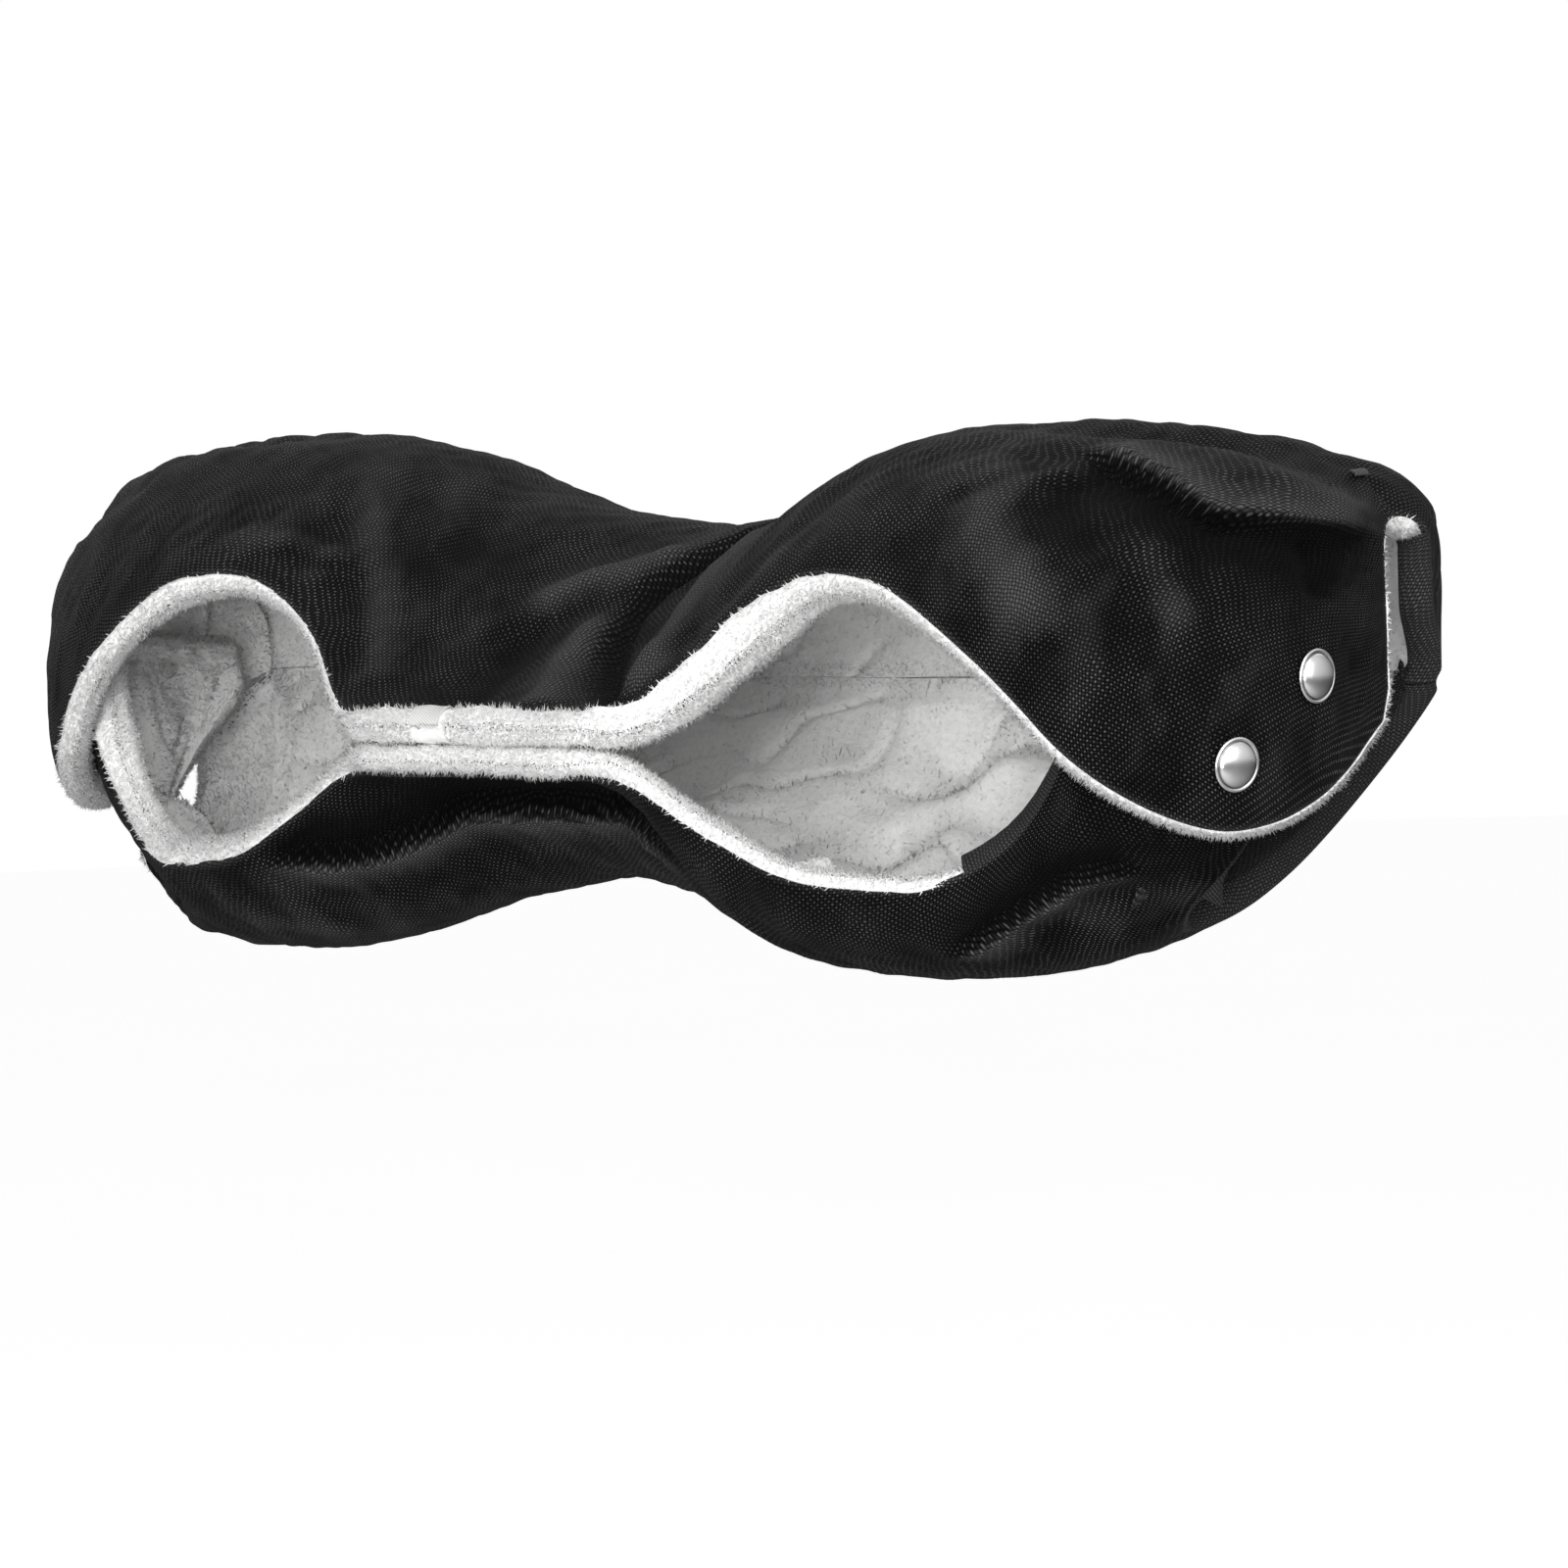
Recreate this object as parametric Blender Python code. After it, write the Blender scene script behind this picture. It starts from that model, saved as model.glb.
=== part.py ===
"""Stroller hand muff: a padded, fleece-lined sleeve folded round a handlebar.

Frame: the origin is on the handlebar's axis at mid-length, +X runs along the bar to the right,
+Y points away from the user and +Z is up. Metres. The left half mirrors the right half.

The muff is two waisted panels, an upper and a lower one, joined along a fold at the back.
Each panel is a sandwich of outer cloth, wadding and fleece lining. Every layer is read from one
rule for the panel's outer face, at its own depth, so that the layers stay parallel.
A place on a panel is given by a station, 0 at the waist and 1 at the end slit, and by an angle
round the bar, 0 at the front, 90 at the ridge, -90 at the keel and 180 at the back fold.
"""
import math

import bmesh
import bpy
import numpy as np
from mathutils import Matrix, Vector

# overall sizes
HALF_LENGTH = 0.226
FRONT_REACH = 0.098
BACK_REACH = 0.078
RIDGE_HEIGHT = 0.078
KEEL_DEPTH = 0.077

# layers of a panel, from the outside in
CLOTH_THICKNESS = 0.0012
WADDING_THICKNESS = 0.0026
FLEECE_THICKNESS = 0.0034
SEAT_GAP = 0.0003
CUT_OVERRUN = 0.004
MERGE_GAP = 0.000001

# guide curves of the upper panel: shares of the half length, of the reach and of the height
STATION_SHARES = (0, 0.20, 0.40, 0.58, 0.74, 0.86, 0.94, 1)
RIDGE_SHARES = ((0, 0.33, 0.60), (0.186, 0.26, 0.69), (0.389, 0.10, 0.93), (0.575, 0.05, 1.0),
                (0.743, 0.10, 0.98), (0.866, 0.28, 0.91), (0.950, 0.46, 0.78), (0.985, 0.56, 0.62))
UPPER_FRONT_SHARES = ((0, -1, 0.12), (0.186, -1, 0.12), (0.389, -0.96, 0.04), (0.593, -0.90, 0),
                      (0.815, -0.71, 0), (0.942, -0.385, 0), (0.980, 0.04, 0), (0.987, 0.45, 0))
UNDERLAP_SHARES = ((0, -0.12, -0.68), (0.186, -0.16, -0.78), (0.380, -0.12, -0.95),
                   (0.575, -0.06, -1.04), (0.743, 0.02, -1.01), (0.854, 0.18, -0.86),
                   (0.920, 0.38, -0.68), (0.956, 0.51, -0.52))
UPPER_MIDDLE_SHARES = ((0, 0, -0.03), (0.186, 0, -0.03), (0.389, 0, 0), (0.584, 0.03, 0),
                       (0.752, 0.10, 0), (0.867, 0.28, 0), (0.942, 0.46, 0), (0.985, 0.56, 0))
BACK_SHARES = ((0, 0.82, 0), (0.195, 0.87, 0), (0.407, 0.95, 0), (0.600, 1, 0),
               (0.760, 1, 0), (0.876, 0.98, 0), (0.970, 0.89, 0), (1.0, 0.70, 0))

# guide curves of the lower panel
KEEL_SHARES = ((0, -0.12, -0.68), (0.186, -0.16, -0.78), (0.380, -0.20, -0.95),
               (0.557, -0.19, -1), (0.718, -0.18, -0.94), (0.822, -0.02, -0.79),
               (0.868, 0.27, -0.58), (0.900, 0.46, -0.42))
LOWER_FRONT_SHARES = ((0, -1, -0.88), (0.186, -1, -0.88), (0.380, -0.94, -0.60),
                      (0.566, -0.85, -0.20), (0.750, -0.67, 0), (0.872, -0.36, 0),
                      (0.922, 0.03, 0), (0.932, 0.45, 0))
LOWER_MIDDLE_SHARES = ((0, 0, -0.03), (0.186, 0, -0.03), (0.380, 0, 0), (0.557, 0.03, 0),
                       (0.710, 0.10, 0), (0.818, 0.27, 0), (0.895, 0.44, 0), (0.925, 0.54, 0))

# angles of the lips in degrees, each at its station share
UPPER_LIP_SHARES = ((0, 0), (0.14, 0), (0.20, 5), (0.26, 17), (0.32, 27), (0.40, 32), (0.50, 31),
                    (0.58, 26), (0.66, 12), (0.74, -8), (0.82, -24), (0.88, -36), (0.93, -42),
                    (0.97, -37), (1, -18))
LOWER_LIP_SHARES = ((0, 0), (0.14, 0), (0.20, -9), (0.30, -20), (0.40, -26), (0.50, -30),
                    (0.60, -34), (0.67, -35), (0.71, -28), (0.74, -7), (0.77, 8), (0.85, 14),
                    (1, 14))
# how flat the two lips lie on each other: the power of the front's rise at each station share
BILL_SHARES = ((0, 5), (0.12, 5), (0.20, 3.2), (0.28, 1.9), (0.40, 1.25), (0.50, 1), (1, 1))
# how far each panel runs toward the end at each angle in degrees: shares of the station
UPPER_END_SHARES = ((-60, 1), (138, 1), (158, 0.98), (170, 0.96), (180, 0.95))
LOWER_END_SHARES = ((-180, 0.95), (-160, 0.91), (-130, 0.85), (-95, 0.83), (-70, 0.87),
                    (-48, 0.92), (-28, 0.98), (-12, 1), (20, 1))
BACK_ANGLE = 180.0
# the end slit has straight sides and a round top: its round share, and where it starts
SLIT_ROUND_SHARE = 0.20
SLIT_STRAIGHT_ANGLE = 66.0
SLIT_STATION_SHARES = (0.80, 1.0)

# main folds: station and angle of both ends, width in station share, depth as a share
FOLD_DEPTH = 0.0045
FOLD_SHARES = ((0.55, 84, 0.99, 82, 0.045, 1.0), (0.17, 20, 0.30, 100, 0.035, 0.55),
               (0.20, 14, 0.46, 66, 0.030, 0.45), (0.05, 60, 0.22, 48, 0.040, 0.40),
               (0.62, -60, 0.80, -50, 0.045, 0.55))
# the waist's own folds, at signed stations; those above zero draw in, those below stand out
WAIST_FOLD_SHARES = ((0.22, 82, 0.05, 64, 0.034, 0.62), (0.04, 62, 0.20, 34, 0.034, 0.62),
                     (0.235, 76, 0.235, 26, 0.036, -0.40), (-0.13, 58, 0.06, 76, 0.034, -0.36),
                     (0.0, 60, 0.08, 32, 0.034, -0.30), (-0.11, 58, -0.08, 30, 0.036, 0.45))
FOLD_ANGLE_SCALE = 150.0
# where a fold deepens and fades, as shares of its length
FOLD_TAPER_SHARES = (-0.15, 0.30, 0.70, 1.15)

# grid of a panel: station shares and shares of the way from the lip to the back fold
GRID_STATION_SHARES = (0, 0.04, 0.08, 0.12, 0.16, 0.19, 0.22, 0.255, 0.29, 0.36, 0.44, 0.52,
                       0.60, 0.67, 0.71, 0.745, 0.79, 0.84, 0.89, 0.945, 1)
GRID_ROW_SHARES = (0, 0.05, 0.10, 0.17, 0.27, 0.38, 0.50, 0.62, 0.75, 0.88, 1)
NORMAL_STATION_STEP_SHARE = 0.012
NORMAL_STEP_ANGLE = 4.0
SEAM_TURN_SHARE = 0.12

# corner flap and its fold
FLAP_START_STATION_SHARE = 0.70
SLIT_TOP_ANGLE = 90.0
FLAP_TIP_ANGLE = -40.0
FLAP_SAMPLES = 60
SLIT_PARTING_OFFSET = 0.0025
LAP_BLEND_STATION_SHARES = (0.60, 0.77)
LAP_BLEND_ANGLE_SHARES = (-0.433, -0.300)

# press snaps: station share and angle of each one on the flap
SNAP_SHARES = {"upper": (0.930, 8.0), "lower": (0.872, -14.5)}
SNAP_SIDES = 16
HOLE_SIDES = 12
DOME_STEPS = 5
CAP_RADIUS = 0.0077
CAP_DOME = 0.0030
CAP_RIM = 0.0006
CAP_POST_RADIUS = 0.0020
SOCKET_RADIUS = 0.0060
SOCKET_THICKNESS = 0.0022
SOCKET_FLOOR = 0.0006
STUD_HEAD_RADIUS = 0.0030
STUD_FLANGE_RADIUS = 0.0055
STUD_FLANGE = 0.0006
STUD_WALL = 0.0007
STUD_POST_RADIUS = 0.0016
POST_CLEARANCE = 0.0004
STUD_CLEARANCE = 0.0006
SWELL_GAP = 0.0006

# hook and loop strips of the centre closure
STRIP_THICKNESS = 0.0012
STRIP_GRID_COLUMNS = 6
STRIP_FIRST_ROW = 1
STRIP_LAST_ROW = 3

# woven label on the upper lip
LABEL_WIDTH = 0.0105
LABEL_HEIGHT = 0.0085
LABEL_THICKNESS = 0.0005
LABEL_OFFSET = 0.012

# thread bars at the slit tops
BARTACK_LENGTH = 0.0075
BARTACK_WIDTH = 0.0020
BARTACK_THICKNESS = 0.0009
BARTACK_STATION_SHARE = 0.94

LAYER_DEPTHS = {
    "outer_cloth": (0, CLOTH_THICKNESS),
    "wadding": (CLOTH_THICKNESS + SEAT_GAP, CLOTH_THICKNESS + SEAT_GAP + WADDING_THICKNESS),
    "fleece_lining": (CLOTH_THICKNESS + WADDING_THICKNESS + 2 * SEAT_GAP,
                      CLOTH_THICKNESS + WADDING_THICKNESS + FLEECE_THICKNESS + 2 * SEAT_GAP),
}
PANEL_THICKNESS = LAYER_DEPTHS["fleece_lining"][1]
SOCKET_DEPTH = PANEL_THICKNESS + SWELL_GAP
STUD_FLANGE_DEPTH = SOCKET_DEPTH + SOCKET_THICKNESS + SEAT_GAP
LAP_DEPTH = STUD_FLANGE_DEPTH + STUD_FLANGE + SWELL_GAP
# height of the closed lips, from one outer face to the other, with their strips between
CLOSURE_HEIGHT = 2 * (PANEL_THICKNESS + SEAT_GAP + STRIP_THICKNESS + SWELL_GAP)


def clear_scene():
    """Empties the scene."""
    for old in list(bpy.data.objects):
        bpy.data.objects.remove(old, do_unlink=True)


def material(name, colour, roughness, metallic=0.0):
    """Makes a Principled material.

    Args:
        name: the material's name.
        colour: linear red, green and blue.
        roughness: 0 polished to 1 matt.
        metallic: 1 for bare metal.

    Returns:
        The material.
    """
    made = bpy.data.materials.new(name)
    made.use_nodes = True
    shader = made.node_tree.nodes["Principled BSDF"]
    shader.inputs["Base Color"].default_value = (*colour, 1.0)
    shader.inputs["Roughness"].default_value = roughness
    shader.inputs["Metallic"].default_value = metallic
    return made


def smooth_curve(stations, values):
    """Makes a smooth curve through places at stations.

    Args:
        stations: rising numbers.
        values: one number or point per station.

    Returns:
        A function of an array of stations.
    """
    knots = np.array(stations, float)
    places = np.array(values, float)
    slopes = np.zeros_like(places)
    last = len(knots) - 1
    for index in range(len(knots)):
        before = max(index - 1, 0)
        after = min(index + 1, last)
        slopes[index] = (places[after] - places[before]) / (knots[after] - knots[before])

    def curve(station):
        held = np.clip(station, knots[0], knots[-1])
        cell = np.clip(np.searchsorted(knots, held, side="right") - 1, 0, last - 1)
        span = knots[cell + 1] - knots[cell]
        way = (held - knots[cell]) / span
        if places.ndim > 1:
            way = way[:, None]
            span = span[:, None]
        return ((2 * way**3 - 3 * way**2 + 1) * places[cell]
                + (way**3 - 2 * way**2 + way) * span * slopes[cell]
                + (3 * way**2 - 2 * way**3) * places[cell + 1]
                + (way**3 - way**2) * span * slopes[cell + 1])

    return curve


def guide(shares, rise=RIDGE_HEIGHT, fall=KEEL_DEPTH):
    """Makes a guide curve from its rows of shares.

    Args:
        shares: rows of length, reach and height shares.
        rise: the height that a height share above zero is of.
        fall: the height that a height share below zero is of.

    Returns:
        A function of an array of stations that gives points in metres.
    """
    rows = []
    for along, reach, height in shares:
        reach_size = BACK_REACH if reach > 0 else FRONT_REACH
        height_size = rise if height > 0 else fall
        rows.append((along * HALF_LENGTH, reach * reach_size, height * height_size))
    return smooth_curve(STATION_SHARES, rows)


def table_curve(rows):
    """Makes a smooth curve from rows of a station or angle and its value.

    Args:
        rows: pairs of numbers.

    Returns:
        A function of an array.
    """
    return smooth_curve([row[0] for row in rows], [row[1] for row in rows])


def ramp(value, start, end):
    """Rises smoothly from 0 at start to 1 at end.

    Args:
        value: an array.
        start: where it leaves 0.
        end: where it reaches 1.

    Returns:
        An array.
    """
    way = np.clip((value - start) / (end - start), 0, 1)
    return way * way * (3 - 2 * way)


BILL = table_curve(BILL_SHARES)


class Panel:
    """One waisted panel: its outer face as a rule, with normals that every layer shares."""

    def __init__(self, side, front, middle, over, under, lip, end):
        """Keeps the panel's guide curves.

        Args:
            side: 1 for the upper panel, -1 for the lower one.
            front: rows of shares of the front guide.
            middle: rows of shares of the middle guide.
            over: rows of shares of the guide above the middle.
            under: rows of shares of the guide below the middle.
            lip: rows of station and lip angle.
            end: rows of angle and end share.
        """
        self.side = side
        self.front = guide(front, CLOSURE_HEIGHT, CLOSURE_HEIGHT)
        self.middle = guide(middle)
        self.over = guide(over)
        self.under = guide(under)
        self.back = guide(BACK_SHARES)
        self.lip = table_curve(lip)
        self.end = table_curve(end)
        self.inside_of = None

    def bare(self, station, angle):
        """Gives points of the outer face before the lap and the folds.

        Args:
            station: signed station shares.
            angle: angles in degrees.

        Returns:
            Points, one per row.
        """
        share = np.abs(station)
        turn = np.radians(angle)
        across = np.cos(turn)[:, None]
        height = np.sin(turn)[:, None]
        middle = self.middle(share)
        reach = np.where(across >= 0, self.front(share), self.back(share)) - middle
        rise = np.where(height >= 0, self.over(share), self.under(share)) - middle
        power = np.where(across >= 0, BILL(share)[:, None], 1.0)
        slim = ramp(share, *SLIT_STATION_SHARES)[:, None]
        straight = np.degrees(np.arcsin(np.abs(height))) / SLIT_STRAIGHT_ANGLE
        cap = np.radians(90) * np.clip((straight - 1) / (90 / SLIT_STRAIGHT_ANGLE - 1), 0, 1)
        slit_height = (1 - SLIT_ROUND_SHARE) * np.clip(straight, 0, 1) \
            + SLIT_ROUND_SHARE * np.sin(cap)
        out = np.abs(across) * (1 - slim) + np.cos(cap) * slim
        up = np.abs(height)**power * (1 - slim) + slit_height * slim
        points = middle + reach * out + rise * up
        points[:, 0] *= np.where(station < 0, -1.0, 1.0)
        return points

    def base(self, station, angle):
        """Gives points of the outer face before the folds.

        Args:
            station: signed station shares.
            angle: angles in degrees.

        Returns:
            Points, one per row.
        """
        points = self.bare(station, angle)
        if self.inside_of is None:
            return points
        lapped = self.inside_of.layer(station, angle, LAP_DEPTH)
        weight = (ramp(np.abs(station), *LAP_BLEND_STATION_SHARES)
                  * lap_share(angle))[:, None]
        return points * (1 - weight) + lapped * weight

    def normal(self, station, angle):
        """Gives the outward normals of the outer face.

        Args:
            station: signed station shares.
            angle: angles in degrees.

        Returns:
            Unit vectors, one per row.
        """
        lip = self.lip(np.abs(station))
        back = BACK_ANGLE * self.side
        way = np.clip((angle - lip) / (back - lip), 0, 1)
        step = NORMAL_STEP_ANGLE * self.side
        start = angle - step * way
        reach = 1 - NORMAL_STATION_STEP_SHARE
        held = np.clip(station, -reach, reach)
        along = (self.base(held + NORMAL_STATION_STEP_SHARE, angle)
                 - self.base(held - NORMAL_STATION_STEP_SHARE, angle))
        around = (self.base(station, start + step) - self.base(station, start)) * self.side
        normals = np.cross(along, around)
        seam = ramp(way, 1 - SEAM_TURN_SHARE, 1)
        normals[:, 2] *= 1 - seam
        return normals / np.linalg.norm(normals, axis=1)[:, None]

    def layer(self, station, angle, depth):
        """Gives points at a depth inside the outer face, with the main folds.

        Args:
            station: signed station shares.
            angle: angles in degrees.
            depth: depth below the outer face.

        Returns:
            Points, one per row.
        """
        station = np.atleast_1d(np.asarray(station, float))
        angle = np.atleast_1d(np.asarray(angle, float))
        normals = self.normal(station, angle)
        drop = fold_drop(station, angle)
        if self.inside_of is not None:
            drop = drop * (1 - lap_share(angle))
        return self.base(station, angle) - normals * (depth + drop)[:, None]


def lap_share(angle):
    """Gives how far the lower panel follows the flap that laps over it.

    Args:
        angle: angles in degrees.

    Returns:
        Shares from 0 to 1.
    """
    return ramp(angle / BACK_ANGLE, *LAP_BLEND_ANGLE_SHARES)


def fold_drop(station, angle):
    """Gives how deep the main folds draw the cloth in.

    Args:
        station: signed station shares.
        angle: angles in degrees.

    Returns:
        Depths in metres.
    """
    across = angle / FOLD_ANGLE_SCALE
    drop = np.zeros_like(across)
    folds = ([(np.abs(station), row) for row in FOLD_SHARES]
             + [(station, row) for row in WAIST_FOLD_SHARES])
    for place, (start, start_angle, end, end_angle, width, depth) in folds:
        start_across = start_angle / FOLD_ANGLE_SCALE
        run = end - start
        rise = end_angle / FOLD_ANGLE_SCALE - start_across
        length = math.hypot(run, rise)
        way = ((place - start) * run + (across - start_across) * rise) / length**2
        aside = ((place - start) * rise - (across - start_across) * run) / length
        taper = ramp(way, *FOLD_TAPER_SHARES[:2]) * (1 - ramp(way, *FOLD_TAPER_SHARES[2:]))
        drop += FOLD_DEPTH * depth * taper * np.exp(-(aside / width)**2)
    return drop


def link(mesh, name, look, smooth=True):
    """Makes an object from a bmesh.

    Args:
        mesh: the bmesh, which is freed.
        name: the object's name.
        look: its material.
        smooth: whether it is shaded smooth.

    Returns:
        The object.
    """
    bmesh.ops.triangulate(mesh, faces=mesh.faces)
    bmesh.ops.recalc_face_normals(mesh, faces=mesh.faces)
    data = bpy.data.meshes.new(name)
    mesh.to_mesh(data)
    mesh.free()
    if smooth:
        data.shade_smooth()
        data.set_sharp_from_angle(angle=math.radians(40))
    if look is not None:
        data.materials.append(look)
    made = bpy.data.objects.new(name, data)
    bpy.context.scene.collection.objects.link(made)
    return made


def grid_solid(outer, inner):
    """Joins two grids of points into a closed slab.

    Args:
        outer: columns of rows of points.
        inner: the same at the slab's other face.

    Returns:
        A bmesh.
    """
    mesh = bmesh.new()
    faces = []
    for points in (outer, inner):
        faces.append([[mesh.verts.new(point) for point in column] for column in points])
    top, bottom = faces
    columns = len(outer)
    rows = len(outer[0])
    for column in range(columns - 1):
        for row in range(rows - 1):
            for side in (top, bottom):
                corners = (side[column][row], side[column + 1][row],
                           side[column + 1][row + 1], side[column][row + 1])
                mesh.faces.new(corners if side is top else corners[::-1])
    for column in range(columns - 1):
        for row in (0, rows - 1):
            mesh.faces.new((top[column][row], top[column + 1][row],
                            bottom[column + 1][row], bottom[column][row]))
    for row in range(rows - 1):
        for column in (0, columns - 1):
            mesh.faces.new((top[column][row], top[column][row + 1],
                            bottom[column][row + 1], bottom[column][row]))
    return mesh


def signed_stations():
    """Lists the grid's stations from the left end to the right end.

    Returns:
        Signed station shares.
    """
    return [-share for share in GRID_STATION_SHARES[:0:-1]] + list(GRID_STATION_SHARES)


def panel_grid(panel, depth, stations, rows):
    """Reads a grid of points from a panel at a depth.

    Args:
        panel: the panel.
        depth: depth below its outer face.
        stations: signed station shares, one per column.
        rows: shares of the way from the lip to the back fold.

    Returns:
        Columns of rows of points.
    """
    back = BACK_ANGLE * panel.side
    columns = []
    for station in stations:
        share = np.full(len(rows), float(station))
        lip = panel.lip(np.abs(share))
        angle = lip + (back - lip) * np.array(rows)
        held = share * panel.end(angle)
        points = panel.layer(held, angle, np.full(len(rows), float(depth)))
        if rows[-1] == 1:
            points[-1, 2] += panel.side * SEAT_GAP / 2
        columns.append([Vector(point) for point in points])
    return columns


def panel_layer(panel, name, layer, look):
    """Makes one layer of a panel as a closed solid.

    Args:
        panel: the panel.
        name: the object's name.
        layer: which layer of LAYER_DEPTHS.
        look: its material.

    Returns:
        The object.
    """
    shallow, deep = LAYER_DEPTHS[layer]
    outer = panel_grid(panel, shallow, signed_stations(), GRID_ROW_SHARES)
    inner = panel_grid(panel, deep, signed_stations(), GRID_ROW_SHARES)
    return link(grid_solid(outer, inner), name, look)


def hide_cutter(cutter):
    """Marks an object as a cutter.

    Args:
        cutter: the object.

    Returns:
        The object.
    """
    cutter.hide_render = True
    cutter.display_type = "WIRE"
    return cutter


def cut(target, cutter, operation):
    """Adds a Boolean modifier.

    Args:
        target: the object that is cut.
        cutter: the cutting object.
        operation: DIFFERENCE or INTERSECT.
    """
    modifier = target.modifiers.new(cutter.name, "BOOLEAN")
    modifier.operation = operation
    modifier.solver = "EXACT"
    modifier.object = cutter


class FlapFold:
    """The straight fold that a corner flap opens about, and the frame of its plane."""

    def __init__(self, panel):
        """Finds the fold from the panel's outer face.

        Args:
            panel: the upper panel.
        """
        start = np.array([FLAP_START_STATION_SHARE])
        self.lip_end = panel.layer(start, panel.lip(start), np.zeros(1))[0]
        self.slit_end = panel.layer([1.0], [SLIT_TOP_ANGLE], np.zeros(1))[0]
        chord = self.slit_end - self.lip_end
        self.axis = chord / np.linalg.norm(chord)
        middle = (FLAP_START_STATION_SHARE + 1) / 2
        angles = np.linspace(0, SLIT_TOP_ANGLE, len(GRID_ROW_SHARES))
        stations = np.full(len(angles), middle)
        swell = panel.normal(stations, angles).mean(axis=0)
        swell -= self.axis * swell.dot(self.axis)
        self.outward = swell / np.linalg.norm(swell)
        self.aside = np.cross(self.axis, self.outward)
        if self.aside[2] > 0:
            self.aside = -self.aside
        spread_station, spread_angle = np.meshgrid(
            np.linspace(FLAP_START_STATION_SHARE, 1, FLAP_SAMPLES),
            np.linspace(FLAP_TIP_ANGLE, SLIT_TOP_ANGLE, FLAP_SAMPLES))
        points = panel.layer(spread_station.ravel(), spread_angle.ravel(),
                             np.zeros(spread_station.size))
        near = np.abs((points - self.slit_end) @ self.aside) < PANEL_THICKNESS
        height = ((points[near] - self.slit_end) @ self.outward).max() + SEAT_GAP
        self.place = (self.lip_end + self.slit_end) / 2 + self.outward * height

    def cutter(self, name, mirror, gap):
        """Makes the space that the flap fills, from its fold to the slit.

        Args:
            name: the object's name.
            mirror: -1 for the left flap, 1 for the right one.
            gap: how far the space reaches past the fold.

        Returns:
            The cutter.
        """
        mesh = bmesh.new()
        bmesh.ops.create_cube(mesh, size=4 * HALF_LENGTH)
        planes = ((self.slit_end - self.aside * gap, self.aside),
                  (self.slit_end - np.array((0, SLIT_PARTING_OFFSET, 0)), np.array((0, -1.0, 0))))
        for place, inside in planes:
            geometry = list(mesh.verts) + list(mesh.edges) + list(mesh.faces)
            result = bmesh.ops.bisect_plane(mesh, geom=geometry, plane_co=Vector(place),
                                            plane_no=Vector(inside), clear_inner=True)
            edges = [item for item in result["geom_cut"] if isinstance(item, bmesh.types.BMEdge)]
            bmesh.ops.edgeloop_fill(mesh, edges=edges)
        if mirror < 0:
            bmesh.ops.scale(mesh, vec=(-1, 1, 1), verts=mesh.verts)
        return hide_cutter(link(mesh, name, None, smooth=False))


def frame_at(point, outward, mirror):
    """Gives the frame of a piece that stands on the cloth.

    Args:
        point: where it stands, on the right half.
        outward: the direction away from the cloth.
        mirror: -1 for the left half, 1 for the right one.

    Returns:
        A matrix whose +Z is the outward direction.
    """
    place = Vector(point)
    away = Vector(outward).normalized()
    place.x *= mirror
    away.x *= mirror
    side = Vector((0, 0, 1)).cross(away).normalized()
    up = away.cross(side)
    turn = Matrix((side, up, away)).transposed().to_4x4()
    return Matrix.Translation(place) @ turn


def turned(name, profile, place, look, sides=SNAP_SIDES):
    """Spins a closed profile about its frame's Z axis.

    Args:
        name: the object's name.
        profile: pairs of radius and height; a solid piece starts and ends on the axis.
        place: the piece's frame.
        look: its material.
        sides: how many sides it has.

    Returns:
        The object.
    """
    mesh = bmesh.new()
    points = [mesh.verts.new((radius, 0, height)) for radius, height in profile]
    edges = [mesh.edges.new(pair) for pair in zip(points, points[1:])]
    if profile[0][0] > 0:
        edges.append(mesh.edges.new((points[-1], points[0])))
    bmesh.ops.spin(mesh, geom=points + edges, axis=(0, 0, 1), cent=(0, 0, 0),
                   angle=math.tau, steps=sides, use_merge=True)
    bmesh.ops.remove_doubles(mesh, verts=mesh.verts, dist=MERGE_GAP)
    made = link(mesh, name, look)
    made.matrix_world = place
    return made


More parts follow.
